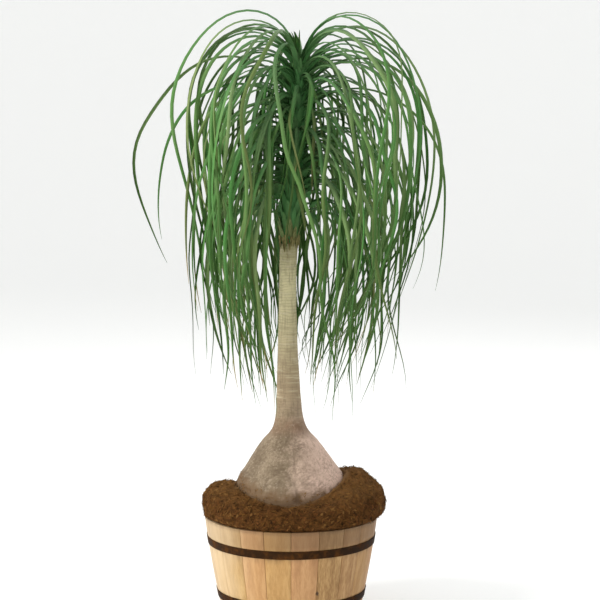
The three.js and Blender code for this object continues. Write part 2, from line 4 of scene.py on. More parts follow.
import bmesh
import bpy
import numpy as np
from bpy.props import FloatProperty, FloatVectorProperty, IntProperty, PointerProperty
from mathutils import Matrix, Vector

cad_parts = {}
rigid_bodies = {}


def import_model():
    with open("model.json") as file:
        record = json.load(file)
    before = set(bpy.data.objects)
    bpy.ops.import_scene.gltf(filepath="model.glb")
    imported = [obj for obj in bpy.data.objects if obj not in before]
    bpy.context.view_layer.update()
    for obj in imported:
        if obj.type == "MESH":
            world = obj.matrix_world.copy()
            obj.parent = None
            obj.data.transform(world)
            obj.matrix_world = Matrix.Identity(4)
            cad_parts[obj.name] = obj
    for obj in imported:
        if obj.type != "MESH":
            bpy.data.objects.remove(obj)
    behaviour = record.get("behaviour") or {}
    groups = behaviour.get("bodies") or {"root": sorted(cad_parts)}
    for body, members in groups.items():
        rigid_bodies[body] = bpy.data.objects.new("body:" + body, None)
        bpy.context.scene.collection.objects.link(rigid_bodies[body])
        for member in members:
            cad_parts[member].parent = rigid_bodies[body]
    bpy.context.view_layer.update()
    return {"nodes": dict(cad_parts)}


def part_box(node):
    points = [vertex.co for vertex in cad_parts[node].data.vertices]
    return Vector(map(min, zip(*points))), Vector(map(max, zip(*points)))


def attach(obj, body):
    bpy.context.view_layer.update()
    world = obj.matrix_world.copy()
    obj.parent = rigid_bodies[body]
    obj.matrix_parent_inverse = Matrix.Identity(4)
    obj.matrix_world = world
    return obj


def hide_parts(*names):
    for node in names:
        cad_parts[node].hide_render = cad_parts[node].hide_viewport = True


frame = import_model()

bl_info = {
    "name": "Potted Ponytail Palm",
    "version": (1, 0, 0),
    "blender": (4, 5, 0),
    "location": "3D View > Sidebar > Palm",
    "description": "Finishes a ponytail palm in a half-barrel tub, and lights it in a plain studio",
    "category": "Object",
}

BODY = "root"
MM = 0.001

STAVES = sorted(name for name in frame["nodes"] if name.startswith("stave_"))
HEAD_BOARDS = sorted(name for name in frame["nodes"] if name.startswith("head_board_"))
HOOPS = {"upper": "hoop_upper", "lower": "hoop_lower"}

# Shape of the croze, the groove inside the staves that holds the tub's floor
CROZE_BOTTOM = 22 * MM
CROZE_TOP = 39 * MM
CROZE_DEPTH = 7 * MM

# The staves: how far out their outer corners are at least, how finely they are built, and where a knot is
LEAST_OUTER_RADIUS = 190 * MM
STAVE_LEVELS = 16
STAVE_COLUMNS = 9
KNOT = (0.074, -0.214, 0.117)

# Heights on the stem: where it comes out of the mulch, where its swollen base ends, the neck, the trunk
BARE_FROM = 345 * MM
SWOLLEN_TO = 0.50
NECK_HEIGHT = 0.563
TRUNK_FROM = 0.62

# Mulch clings to the foot of the stem up to one height, and earth stains it up to another
LITTER_HEIGHT = 0.376
EARTH_HEIGHT = 0.386

# The stem's middle bends to the left on its way up, and shifts to the right near the leaves
BEND, BEND_FROM, BEND_HEIGHT = 10 * MM, 0.43, 0.87
SHIFT, SHIFT_FROM, SHIFT_TO = 24 * MM, 1.0, 1.6

# The cleft in the front of the base, and the crease that runs up from it
CLEFT_DIRECTION = radians(-82)
CLEFT_HALF_WIDTH = radians(5)
CLEFT_HEIGHT, CLEFT_HALF_HEIGHT = 0.376, 0.026
CLEFT_DEPTH = 9 * MM
CREASE_DIRECTION = radians(-85)

# The leaves follow the rule of the solid crown, so that both have the same outline: angles in degrees,
# and the heights between which the leaves are rooted in millimetres
GOLDEN_ANGLE = 137.50776
CROWN_BOTTOM = 1085.3
CROWN_TOP = 1628
FRONT_PARTING = 24
PARTING_WIDTH = 28
MOST_ROLL = 75

# How a leaf hangs at last, where it starts and ends, and how much room it leaves at the trunk
HANGING = radians(-91)
ROOT_RADIUS = 8 * MM
LEAF_FLOOR = 606 * MM
LEAF_STEPS = 160
PARTING = 62 * MM
TRUNK_CLEARANCE = 54 * MM

# The numbers from which the draws of the other kinds of leaf count
FIRST_FINE = 1000
FIRST_UPRIGHT = 2000
FIRST_HEART = 3000

# Leaves that make the outline: direction, height of the root, launch angle, reach, length,
# inward curl and sideways sway, in degrees and millimetres
OUTER_LEAVES = (
    (180, 1612, 79, 345, 1190, 16, 4),
    (171, 1605, 74, 285, 1120, 18, -10),
    (190, 1590, 70, 322, 1130, 20, 8),
    (3, 1585, 66, 378, 1150, 16, 8),
    (-14, 1600, 76, 274, 1150, 20, 12),
    (12, 1605, 80, 185, 1000, 14, -10),
    (-6, 1570, 60, 345, 1050, 26, -12),
    (182, 1490, 60, 471, 980, 44, -4),
    (176, 1440, 56, 405, 760, 40, 8),
    (1, 1450, 44, 426, 900, 28, 4),
    (-4, 1500, 60, 414, 1000, 44, -8),
    (90, 1530, 46, 425, 1150, 14, 6),
    (-106, 1560, 64, 440, 1000, 12, -6),
)

# The column of leaf bases: height and radius
COLUMN = ((1.0853, 0.0245), (1.12, 0.025), (1.28, 0.026), (1.48, 0.024), (1.58, 0.018), (1.615, 0.008))
COLUMN_SIDES = 32

# Colours that the user doesn't set, from 0 to 255
PAINTS = {
    "warm board": (202, 148, 104),
    "yellow board": (196, 156, 84),
    "stain under a hoop": (96, 66, 38),
    "damp wood": (102, 73, 42),
    # Damp wood, with painted shade
    "shaded wood": (112, 82, 50),
    "wet rim": (70, 46, 26),
    "muddy foot": (84, 62, 42),
    "knot": (52, 26, 12),
    # Painted shade for the tub's floor
    "wood inside": (92, 68, 44),
    "grit on steel": (60, 38, 22),
    # Painted shade on the hoops' right side
    "damp steel": (26, 15, 6),
    "brown neck": (122, 92, 70),
    "olive trunk": (128, 122, 76),
    "pale ring": (206, 194, 164),
    "pit": (96, 78, 62),
    "high cork": (192, 174, 154),
    # Painted shade in the cleft
    "cleft": (66, 50, 38),
    "earthy bark": (112, 86, 58),
    "red chip": (108, 63, 34),
    "dusty mulch": (132, 104, 74),
    "wet soil": (34, 24, 16),
    "soil": (70, 50, 33),
    "grit in soil": (176, 168, 156),
    "greyish leaf root": (86, 110, 92),
    # Painted shade for the hanging ends of the leaves
    "deep leaf end": (40, 78, 14),
    "leaf vein": (134, 160, 104),
    "ageing leaf": (124, 112, 70),
    "leaf edge": (140, 156, 96),
    "husk": (92, 86, 46),
    "pale husk": (150, 140, 90),
}


def linear(*rgb):
    """Turns a colour from 0 to 255 into the linear values that shaders use."""
    parts = (channel / 255 for channel in rgb)
    return tuple(c / 12.92 if c <= 0.04045 else ((c + 0.055) / 1.055) ** 2.4 for c in parts)


def mix(a, b, factor):
    return a + (b - a) * factor


def ease(value, start, end):
    part = np.clip((value - start) / (end - start), 0, 1)
    return part * part * (3 - 2 * part)


def draw(item, which, low=0.0, high=1.0):
    """A repeatable number from low to high for one draw of one item."""
    value = sin(item * 127.1 + which * 311.7 + 7.3) * 43758.5453
    return mix(low, high, value % 1.0)


def size(name, description, default):
    """A length in metres that a user may change."""
    return FloatProperty(name=name, description=description, default=default, unit="LENGTH")


def angle(name, description, degrees):
    """An angle that a user may change."""
    return FloatProperty(name=name, description=description, default=radians(degrees), unit="ROTATION")


def count(name, description, default, least=0):
    """A whole number that a user may change."""
    return IntProperty(name=name, description=description, default=default, min=least)


def scalar(name, description, default):
    """A plain number that a user may change."""
    return FloatProperty(name=name, description=description, default=default)


def colour(name, description, *rgb):
    """A colour, from 0 to 255, that a user may change."""
    return FloatVectorProperty(name=name, description=description, default=linear(*rgb), subtype="COLOR")


def points_of(mesh):
    """The points of a mesh, as an array."""
    points = np.empty(len(mesh.vertices) * 3)
    mesh.vertices.foreach_get("co", points)
    return points.reshape(-1, 3)


def node_points(name):
    return points_of(frame["nodes"][name].data)


def outer_profile(points, digits):
    """Height, centre and largest radius of each level of a turned solid."""
    rows = []
    for z in np.unique(np.round(points[:, 2], digits)):
        level = points[np.abs(points[:, 2] - z) < 10.0 ** -digits]
        middle = (level[:, 0].max() + level[:, 0].min()) / 2
        rows.append((z, middle, np.hypot(level[:, 0] - middle, level[:, 1]).max()))
    return np.array(rows)


def ring(x, radius, z, sides):
    """Points on a level circle whose middle stands at x."""
    turns = (2 * pi * side / sides for side in range(sides))
    return [(x + radius * cos(turn), radius * sin(turn), z) for turn in turns]


def mesh_from(name, points, faces=(), edges=()):
    """A mesh from its points, and the numbers of the points of each face or edge."""
    mesh = bpy.data.meshes.new(name)
    mesh.from_pydata([tuple(point) for point in points], list(edges), list(faces))
    mesh.update()
    return mesh


def ring_faces(rings, sides):
    """The faces between each ring of points and the next."""
    for start in range(0, (rings - 1) * sides, sides):
        for side in range(sides):
            a, b = start + side, start + (side + 1) % sides
            yield a, b, b + sides, a + sides


def tube_mesh(name, rings):
    """A closed skin over rings of points, with a flat face at each end."""
    sides = len(rings[0])
    points = [point for level in rings for point in level]
    ends = [tuple(range(sides))[::-1], tuple(range(len(points) - sides, len(points)))]
    return mesh_from(name, points, [*ring_faces(len(rings), sides), *ends])


def new_object(name, mesh):
    """Puts a mesh, light or camera in the scene."""
    shape = bpy.data.objects.new(name, mesh)
    bpy.context.scene.collection.objects.link(shape)
    return shape


def give_attributes(mesh, **attributes):
    """Stores numbers for each point of a mesh, under their names."""
    for name, values in attributes.items():
        layer = mesh.attributes.new(name, "FLOAT", "POINT")
        layer.data.foreach_set("value", np.asarray(values, np.float32))


def bake_modifiers(shape):
    """Leaves what an object's modifiers make as its plain mesh."""
    bpy.context.view_layer.update()
    graph = bpy.context.evaluated_depsgraph_get()
    mesh = bpy.data.meshes.new_from_object(shape.evaluated_get(graph))
    shape.modifiers.clear()
    shape.data = mesh
    if not mesh.polygons:
        raise RuntimeError(f"{shape.name} came out with no faces")
    return shape


def run_tree(shape, builder, **values):
    """Runs a tree on an object. In the names of its inputs, _ stands for a space."""
    modifier = shape.modifiers.new("Shape", "NODES")
    modifier.node_group = builder.tree
    wanted = {label.replace("_", " "): value for label, value in values.items()}
    for item in builder.tree.interface.items_tree:
        if item.in_out == "INPUT" and item.name in wanted:
            modifier[item.identifier] = wanted.pop(item.name)
    if wanted:
        raise RuntimeError(f"{builder.tree.name} has no input named {sorted(wanted)}")
    return bake_modifiers(shape)


def face_out(shape):
    """Turns every closed body of a mesh so that its faces point out."""
    work = bmesh.new()
    work.from_mesh(shape.data)
    bmesh.ops.recalc_face_normals(work, faces=work.faces)
    work.to_mesh(shape.data)
    work.free()
    return shape


def shade(shape, degrees=None):
    """Smooths the shading, with sharp edges past an angle."""
    shape.data.shade_smooth()
    if degrees is not None:
        shape.data.set_sharp_from_angle(angle=radians(degrees))


def settle(shape, slot, *nodes):
    """Makes a finished piece part of the object, in place of the CAD nodes that are named."""
    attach(shape, BODY)
    if nodes:
        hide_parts(*nodes)


def repaint(node_name, material):
    """Gives a CAD node that stays in view another material."""
    materials = frame["nodes"][node_name].data.materials
    materials.clear()
    materials.append(material)


class Value:
    """What a node gives. Arithmetic with it adds a math node for each step."""

    def __init__(self, build, socket):
        self.build = build
        self.socket = socket

    def __add__(self, other):
        return self.build.math("ADD", self, other)

    def __sub__(self, other):
        return self.build.math("SUBTRACT", self, other)

    def __rsub__(self, other):
        return self.build.math("SUBTRACT", other, self)

    def __mul__(self, other):
        return self.build.math("MULTIPLY", self, other)

    def __truediv__(self, other):
        return self.build.math("DIVIDE", self, other)

    def __neg__(self):
        return self * -1.0

    def __abs__(self):
        return self.build.math("ABSOLUTE", self)

    def fraction(self):
        return self.build.math("FRACT", self)

    def between(self, low, high, start=0.0, end=1.0):
        """Maps the value from low..high to start..end, softly, and stops at the ends."""
        inputs = {"Value": self, "From Min": low, "From Max": high, "To Min": start, "To Max": end}
        return self.build.out("ShaderNodeMapRange", inputs, "Result", interpolation_type="SMOOTHSTEP")


class TreeBuilder:
    """Adds nodes to a node tree, and gives what they make as values."""

    def __init__(self, tree):
        self.tree = tree

    def add(self, kind, inputs=None, **settings):
        node = self.tree.nodes.new(kind)
        for name, value in settings.items():
            setattr(node, name, value)
        for key, value in (inputs or {}).items():
            self.feed(node.inputs[key], value)
        return node

    def feed(self, socket, value):
        if isinstance(value, Value):
            self.tree.links.new(value.socket, socket)
        else:
            socket.default_value = value

    def out(self, kind, inputs=None, output=0, **settings):
        """One output of a new node. Inputs and the output go by name or number."""
        return Value(self, self.add(kind, inputs, **settings).outputs[output])

    def math(self, operation, *numbers):
        return self.out("ShaderNodeMath", dict(enumerate(numbers)), operation=operation)

    def vector(self, operation, *vectors):
        return self.out("ShaderNodeVectorMath", dict(enumerate(vectors)), operation=operation)

    def scaled(self, vector, *factors):
        return self.vector("MULTIPLY", vector, factors)

    def noise(self, vector, scale, detail=3.0, roughness=0.55, distortion=0.0):
        shape = {"Detail": detail, "Roughness": roughness, "Distortion": distortion}
        return self.out("ShaderNodeTexNoise", {"Vector": vector, "Scale": scale, **shape})

    def cells(self, vector, scale, feature):
        inputs = {"Vector": vector, "Scale": scale}
        return self.out("ShaderNodeTexVoronoi", inputs, "Distance", feature=feature)

    def separate(self, vector):
        return [Value(self, socket) for socket in self.add("ShaderNodeSeparateXYZ", {0: vector}).outputs]

    def combine(self, x, y, z):
        return self.out("ShaderNodeCombineXYZ", {0: x, 1: y, 2: z})

    def polar(self, radius, turn, z):
        """The place at a distance and direction from the middle."""
        return self.combine(radius * self.math("COSINE", turn), radius * self.math("SINE", turn), z)


class ShapeTree(TreeBuilder):
    """A Geometry Nodes tree with named inputs, which ends in Realize Instances and Set Material."""

    def __init__(self, name, *numbers, **others):
        """Inputs that are numbers go by name alone, and others by name and kind."""
        super().__init__(bpy.data.node_groups.new(name, "GeometryNodeTree"))
        kinds = {"Geometry": "Geometry", **dict.fromkeys(numbers, "Float"), **others, "Material": "Material"}
        for label, kind in kinds.items():
            self.tree.interface.new_socket(label, in_out="INPUT", socket_type=f"NodeSocket{kind}")
        self.tree.interface.new_socket("Geometry", in_out="OUTPUT", socket_type="NodeSocketGeometry")
        self.inputs = {socket.name: Value(self, socket) for socket in self.add("NodeGroupInput").outputs}
        self.geometry = self["Geometry"]
        self.position = self.out("GeometryNodeInputPosition")
        self.normal = self.out("GeometryNodeInputNormal")

    def __getitem__(self, label):
        return self.inputs[label]

    def named(self, name):
        return self.out("GeometryNodeInputNamedAttribute", {"Name": name}, "Attribute", data_type="FLOAT")

    def store(self, geometry, name, value, kind="FLOAT", domain="POINT"):
        inputs = {"Geometry": geometry, "Name": name, "Value": value}
        return self.out("GeometryNodeStoreNamedAttribute", inputs, data_type=kind, domain=domain)

    def object(self, label):
        """The shape of the object that an input names."""
        return self.out("GeometryNodeObjectInfo", {"Object": self[label]}, "Geometry")

    def place(self, geometry, **moves):
        return self.out("GeometryNodeSetPosition", {"Geometry": geometry, **moves})

    def push(self, geometry, direction, distance):
        """Moves each point along its own direction."""
        offset = self.out("ShaderNodeVectorMath", {0: direction, "Scale": distance}, operation="SCALE")
        return self.place(geometry, Offset=offset)

    def transform(self, geometry, **moves):
        return self.out("GeometryNodeTransform", {"Geometry": geometry, **moves})

    def sweep(self, line, section, **inputs):
        lines = {"Curve": line, "Profile Curve": section, "Fill Caps": True}
        return self.out("GeometryNodeCurveToMesh", {**lines, **inputs})

    def instances(self, points, shape, **inputs):
        return self.out("GeometryNodeInstanceOnPoints", {"Points": points, "Instance": shape, **inputs})

    def random(self, low, high, seed):
        inputs = {2: low, 3: high, "Seed": seed}
        return self.out("FunctionNodeRandomValue", inputs, 1, data_type="FLOAT")

    def realized(self, geometry):
        return self.out("GeometryNodeRealizeInstances", {"Geometry": geometry})

    def finish(self, geometry):
        inputs = {"Geometry": self.realized(geometry), "Material": self["Material"]}
        self.add("NodeGroupOutput", {0: self.out("GeometryNodeSetMaterial", inputs)})
        return self


class Finish(TreeBuilder):
    """A material with one Principled shader, whose colour is laid on in coats."""

    def __init__(self, name, base_colour, **inputs):
        self.material = bpy.data.materials.new(name)
        self.material.use_nodes = True
        super().__init__(self.material.node_tree)
        self.shader = next(node for node in self.tree.nodes if node.type == "BSDF_PRINCIPLED")
        self.colour = base_colour
        self.set(**inputs)

    def set(self, **inputs):
        """Sets inputs of the shader. In their names, _ stands for a space."""
        for name, value in inputs.items():
            self.feed(self.shader.inputs[name.replace("_", " ")], value)

    def attribute(self, name, output="Fac"):
        return self.out("ShaderNodeAttribute", None, output, attribute_name=name)

    def place(self):
        return self.out("ShaderNodeTexCoord", None, "Object")

    def mixed(self, factor, *colours):
        """A mix of two colours."""
        inputs = {0: factor, **dict(enumerate(map(self.paint, colours), 6))}
        return self.out("ShaderNodeMix", inputs, 2, data_type="RGBA")

    @staticmethod
    def paint(over):
        """What a socket takes for a paint's name, a setting or what a node gives."""
        if isinstance(over, Value):
            return over
        rgb = linear(*PAINTS[over]) if isinstance(over, str) else over
        return (*rgb, 1.0)

    def coat(self, factor, over):
        """Lays a colour over the colour so far, as thickly as the factor says."""
        self.colour = self.mixed(factor, self.colour, over)

    def finish(self, height=None, strength=0.0, distance=0.0):
        """Gives the shader its colour, and bumps where a height is given."""
        self.set(Base_Color=self.paint(self.colour))
        if height is not None:
            inputs = {"Strength": strength, "Distance": distance, "Height": height}
            self.set(Normal=self.out("ShaderNodeBump", inputs))
        return self.material


# Tub


def tub_curve():
    """The outside of the tub as a polynomial of the height."""
    rows = outer_profile(np.vstack([node_points(name) for name in STAVES]), 3)
    rows = rows[rows[:, 2] > LEAST_OUTER_RADIUS]
    for groove_edge in (CROZE_BOTTOM, CROZE_TOP):
        rows = rows[np.abs(rows[:, 0] - groove_edge) > 2 * MM]
    return np.polyfit(rows[:, 0], rows[:, 2], 2)


TUB_CURVE = tub_curve()
TUB_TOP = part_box(STAVES[0])[1].z


def tub_radius(z):
    return float(np.polyval(TUB_CURVE, z))


def stave_span(name):
    """The directions of a stave's two edges, seen from the middle of the tub."""
    points = node_points(name)
    middle = atan2(points[:, 1].mean(), points[:, 0].mean())
    turned = np.arctan2(points[:, 1], points[:, 0]) - middle
    turned = np.arctan2(np.sin(turned), np.cos(turned))
    return middle + turned.min(), middle + turned.max()


class TubSettings(bpy.types.PropertyGroup):
    height: size("Height", "Height of the staves", TUB_TOP)
    wall: size("Wall", "Thickness of the staves", 18 * MM)
    seam: size("Seam", "Open gap between two staves", 0.1 * MM)
    rounding: size("Rounding", "Rounding of the staves' edges", 1.6 * MM)
    step: size("Step", "Most that one stave sits behind its neighbour", 0.9 * MM)
    # Painted light: the staves' left side, where the key light falls, is painted paler
    painted_light_on_wood: colour("Painted light on wood", "Wood on the side that faces the sun", 226, 204, 170)
    light_wood: colour("Light wood", "Pale streaks of the staves", 200, 164, 110)
    mid_wood: colour("Wood", "Main colour of the staves", 172, 133, 81)
    dark_wood: colour("Dark wood", "Dark streaks of the staves", 128, 91, 48)


def stave_blank(settings, width):
    """One straight stave with rounded edges: across is X, through is Y as a radius, and up is Z."""
    heights = np.linspace(0, settings.height, STAVE_LEVELS)
    outline = [(tub_radius(z), z) for z in heights]
    inside = [(z, 0) for z in heights[::-1] if z > CROZE_TOP + 4 * MM]
    inside += [(CROZE_TOP, 0), (CROZE_TOP, CROZE_DEPTH)]
    inside += [(CROZE_BOTTOM, CROZE_DEPTH), (CROZE_BOTTOM, 0), (0, 0)]
    outline += [(tub_radius(z) - settings.wall + depth, z) for z, depth in inside]
    around = len(outline)
    points = [(width * part, y, z) for part in np.linspace(0, 1, STAVE_COLUMNS) for y, z in outline]
    ends = [tuple(range(around)), tuple(range(len(points) - around, len(points)))[::-1]]
    sides = [(a, d, c, b) for a, b, c, d in ring_faces(STAVE_COLUMNS, around)]
    blank = face_out(new_object("stave_blank", mesh_from("stave_blank", points, ends + sides)))
    bevel = blank.modifiers.new("Rounding", "BEVEL")
    bevel.width = settings.rounding
    bevel.segments = 2
    bevel.limit_method = "ANGLE"
    bevel.angle_limit = radians(50)
    return bake_modifiers(blank)


def stave_tree():
    """Sets a straight stave at each point, and bends all of them round the tub."""
    tree = ShapeTree("Staves round a tub", "Blank Width", "Seam", "Step", Blank="Object")
    staves = tree.realized(tree.instances(tree.geometry, tree.object("Blank")))
    x, y, z = tree.separate(tree.position)
    tone = tree.named("tone")
    staves = tree.store(staves, "grain", tree.combine(x, y + tone * 7.0, z), "FLOAT_VECTOR")
    half_seam = tree["Seam"] / (2 * tub_radius(TUB_TOP / 2))
    start = tree.named("from_angle") + half_seam
    span = tree.named("to_angle") - half_seam - start
    turn = span * (x / tree["Blank Width"]) + start
    radius = y - tree["Step"] * (tone * 5.3).fraction()
    return tree.finish(tree.place(staves, Position=tree.polar(radius, turn, z)))


class PALM_OT_staves(bpy.types.Operator):
    """Sets the tub's staves side by side, each with rounded edges and its own grain."""

    bl_idname = "palm.staves"
    bl_label = "Tub staves"

    def execute(self, context):
        settings = context.scene.palm_tub
        starts, ends = zip(*map(stave_span, STAVES))
        tub = new_object("tub_staves", mesh_from("tub_staves", [(0, 0, 0)] * len(STAVES)))
        tones = [draw(i, 90) for i in range(len(STAVES))]
        give_attributes(tub.data, from_angle=starts, to_angle=ends, tone=tones)
        width = 2 * pi * tub_radius(settings.height / 2) / len(STAVES)
        blank = stave_blank(settings, width)
        run_tree(
            tub, stave_tree(), Blank=blank, Blank_Width=width, Seam=settings.seam, Step=settings.step,
            Material=stave_wood(settings),
        )
        bpy.data.objects.remove(blank)
        shade(face_out(tub), 40)
        settle(tub, "stave_wood", *STAVES)
        floor_wood = head_wood(settings)
        for name in HEAD_BOARDS:
            repaint(name, floor_wood)
        return {"FINISHED"}


# Hoops


class HoopSettings(bpy.types.PropertyGroup):
    width: size("Width", "Height of a hoop's band", 24 * MM)
    thickness: size("Thickness", "Thickness of a hoop's band", 1.6 * MM)
    clearance: size("Clearance", "Gap between hoop and staves", 0.15 * MM)
    lap: angle("Lap", "Angle over which a hoop's ends lie on each other", 9)
    rivet: size("Rivet", "Radius of a rivet's head", 5.5 * MM)
    steel: colour("Steel", "Dark skin of the hoops", 46, 27, 8)
    rust: colour("Rust", "Rusty patches of the hoops", 84, 50, 18)


def hoop_tree():
    """Sweeps a slanted flat band round a circle, adds the lap over it, and sets two rivets on the lap."""
    tree = ShapeTree(
        "Riveted hoop", "Radius", "Height", "Width", "Thickness", "Slant", "Lap", "Lap Direction",
        "Rivet Radius", "Rivet Spacing",
    )
    thickness, slant, lap = tree["Thickness"], tree["Slant"], tree["Lap"]
    sides = {"Width": thickness, "Height": tree["Width"]}
    section = tree.out("GeometryNodeCurvePrimitiveQuadrilateral", sides)
    corners = {"Curve": section, "Radius": 0.5 * MM, "Count": 3}
    section = tree.out("GeometryNodeFilletCurve", corners, mode="POLY")
    section = tree.transform(section, Rotation=tree.combine(0.0, 0.0, slant))
    circle = {"Resolution": 240, "Radius": tree["Radius"]}
    lap_radius = tree["Radius"] + thickness
    lap_start = lap * -0.5 + tree["Lap Direction"]
    arc = {"Resolution": 14, "Radius": lap_radius, "Start Angle": lap_start, "Sweep Angle": lap}
    parts = [
        tree.sweep(tree.out("GeometryNodeCurvePrimitiveCircle", circle), section),
        tree.sweep(tree.out("GeometryNodeCurveArc", arc), section),
    ]
    seat_radius = thickness * 0.5 + lap_radius
    ball = {"Segments": 24, "Rings": 12, "Radius": tree["Rivet Radius"]}
    for side in (-0.5, 0.5):
        direction = tree["Lap Direction"] + tree["Rivet Spacing"] * side / seat_radius
        parts.append(tree.transform(
            tree.out("GeometryNodeMeshUVSphere", ball), Translation=tree.polar(seat_radius, direction, 0.0),
            Rotation=tree.combine(0.0, -slant, direction), Scale=(0.42, 1.0, 1.0),
        ))
    join = tree.add("GeometryNodeJoinGeometry")
    for part in parts:
        tree.feed(join.inputs[0], part)
    whole = Value(tree, join.outputs[0])
    return tree.finish(tree.place(whole, Offset=tree.combine(0.0, 0.0, tree["Height"])))


class PALM_OT_hoops(bpy.types.Operator):
    """Puts the two steel hoops round the staves, each with a riveted lap at the back."""

    bl_idname = "palm.hoops"
    bl_label = "Hoops"

    def execute(self, context):
        settings = context.scene.palm_hoops
        tree = hoop_tree()
        steel = hoop_steel(settings)
        for place, node in HOOPS.items():
            low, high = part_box(node)
            middle = (low.z + high.z) / 2
            half = settings.width / 2
            rise = tub_radius(middle + half) - tub_radius(middle - half)
            rivets = [f"rivet_{place}_left", f"rivet_{place}_right"]
            seat = sum((Vector(corner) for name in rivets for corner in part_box(name)), Vector())
            spread = (node_points(rivets[0]).mean(0) - node_points(rivets[1]).mean(0))[:2]
            hoop = new_object(f"{node}_band", mesh_from(node, [(0, 0, 0)]))
            run_tree(
                hoop, tree,
                Radius=tub_radius(middle) + settings.clearance + settings.thickness / 2,
                Height=middle,
                Width=settings.width,
                Thickness=settings.thickness,
                Slant=atan2(rise, settings.width),
                Lap=settings.lap,
                Lap_Direction=atan2(seat.y, seat.x),
                Rivet_Radius=settings.rivet,
                Rivet_Spacing=float(np.hypot(*spread)),
                Material=steel,
            )
            shade(face_out(hoop), 50)
            settle(hoop, "hoop_steel", node, *rivets)
        return {"FINISHED"}


# Stem


STEM_LEVELS = outer_profile(node_points("caudex_trunk"), 4)


def stem_radius(z):
    return np.interp(z, STEM_LEVELS[:, 0], STEM_LEVELS[:, 2])


def stem_lean(z):
    """How far the stem's middle stands to the right at a height."""
    bend = -BEND * np.sin(pi * np.clip((z - BEND_FROM) / BEND_HEIGHT, 0, 1))
    return bend + SHIFT * ease(z, SHIFT_FROM, SHIFT_TO)


def smooth_rows(values, passes):
    """Evens out a row of numbers, and keeps its two ends."""
    for _ in range(passes):
        inner = (values[:-2] + 2 * values[1:-1] + values[2:]) / 4
        values = np.concatenate([values[:1], inner, values[-1:]])
    return values


class StemSettings(bpy.types.PropertyGroup):
    sides: count("Sides", "Points round the stem", 150, 12)
    rise: size("Level height", "Height between two levels of the stem", 2.1 * MM)
    crack_depth: size("Crack depth", "Depth of the cracks in the swollen base", 1.6 * MM)
    scar_spacing: size("Scar spacing", "Height between two leaf scars of the trunk", 8 * MM)
    scar_depth: size("Scar depth", "Depth of the leaf scars", 0.45 * MM)
    lump: size("Lumps", "Unevenness of the swollen base", 4.5 * MM)
    pale_bark: colour("Pale bark", "High spots of the bark", 214, 184, 166)
    bark: colour("Bark", "Main colour of the swollen base", 146, 129, 106)
    trunk_bark: colour("Trunk bark", "Main colour of the trunk", 162, 143, 113)
    shaded_bark: colour("Shaded bark", "Browner, darker bark in patches", 122, 106, 84)
    # Greener bark up the trunk, also painted paler as painted light where the crown shades the trunk
    young_bark_and_painted_light: colour("Young bark and painted light", "Greener bark below the leaves", 222, 212, 168)
    crack: colour("Cracks", "Bottom of the cracks", 98, 80, 62)


def stem_mesh(settings):
    """A smooth skin over the stem's levels, smoother still up the trunk."""
    low, high = STEM_LEVELS[0, 0], STEM_LEVELS[-1, 0]
    heights = np.linspace(low, high, int((high - low) / settings.rise))
    radii = smooth_rows(stem_radius(heights), 12)
    eased = np.interp(heights, heights[::16], stem_radius(heights[::16]))
    radii = np.where(heights > TRUNK_FROM, smooth_rows(np.maximum(eased, radii), 30), radii)
    levels = zip(stem_lean(heights), radii, heights)
    return tube_mesh("stem", [ring(x, radius, z, settings.sides) for x, radius, z in levels])


def bark_tree():
    """Cuts cracks, ring scars and a cleft into a smooth stem, and stores where painted shade darkens the
    cracks, scars and cleft.
    """
    tree = ShapeTree("Bark relief", "Crack Depth", "Scar Spacing", "Scar Depth", "Lump")
    crack_depth, place = tree["Crack Depth"], tree.position
    x, y, z = tree.separate(place)
    bare = z.between(BARE_FROM, BARE_FROM + 20 * MM)
    swollen = z.between(SWOLLEN_TO, TRUNK_FROM, 1.0, 0.0)
    trunk = 1.0 - swollen
    stretched = tree.scaled(place, 1.0, 1.0, 1.7)
    warp = tree.noise(stretched, 22.0)
    warped = tree.vector("ADD", stretched, tree.combine(warp * 0.05, warp * 0.04, warp * 0.06))
    patch = tree.noise(place, 13.0).between(0.44, 0.6)
    crack = tree.cells(warped, 62.0, "DISTANCE_TO_EDGE").between(0.0, 0.13, 1.0, 0.0)
    crack = crack * (patch * 0.75 + 0.25)
    wrinkle = tree.noise(tree.scaled(place, 1.0, 1.0, 0.22), 90.0, 4.0).between(0.5, 0.64)
    wavy = tree.noise(place, 14.0, 2.0) * 0.022 + z
    scar = abs((wavy / tree["Scar Spacing"]).fraction() - 0.5).between(0.0, 0.3, 1.0, 0.0)
    scar = scar * tree.noise(place, 40.0, 2.0).between(0.3, 0.55, 0.25, 1.0)
    direction = tree.math("ARCTAN2", y, x)
    aside = (direction - CLEFT_DIRECTION) / CLEFT_HALF_WIDTH
    above = (z - CLEFT_HEIGHT) / CLEFT_HALF_HEIGHT
    cleft = tree.math("EXPONENT", -(aside * aside + above * above))
    wander = (tree.noise(place, 18.0, 2.0) - 0.5) * radians(9)
    crease = abs(direction - CREASE_DIRECTION + wander).between(radians(0.4), radians(1.8), 1.0, 0.0)
    crease = crease * z.between(0.40, 0.43) * z.between(0.47, 0.56, 1.0, 0.0)
    crack = tree.math("MAXIMUM", crack, crease * 0.8)
    lumps = tree.noise(tree.scaled(place, 1.0, 1.0, 0.7), 9.0, 2.0) - 0.62
    depth = (crack * crack_depth + wrinkle * (crack_depth * 0.35)) * swollen
    depth = depth + scar * tree["Scar Depth"] * trunk + cleft * CLEFT_DEPTH
    depth = depth - lumps * tree["Lump"] * (swollen * 0.85 + 0.15)
    # How much painted shade darkens the cracks and ring scars
    crack_and_scar_shade = tree.math("MAXIMUM", crack * swollen, scar * (trunk * 0.32))
    stem = tree.store(tree.geometry, "crack", crack_and_scar_shade * bare)
    stem = tree.store(stem, "cleft", cleft)
    return tree.finish(tree.push(stem, tree.normal, -(tree.math("MAXIMUM", depth, 0.0) * bare)))


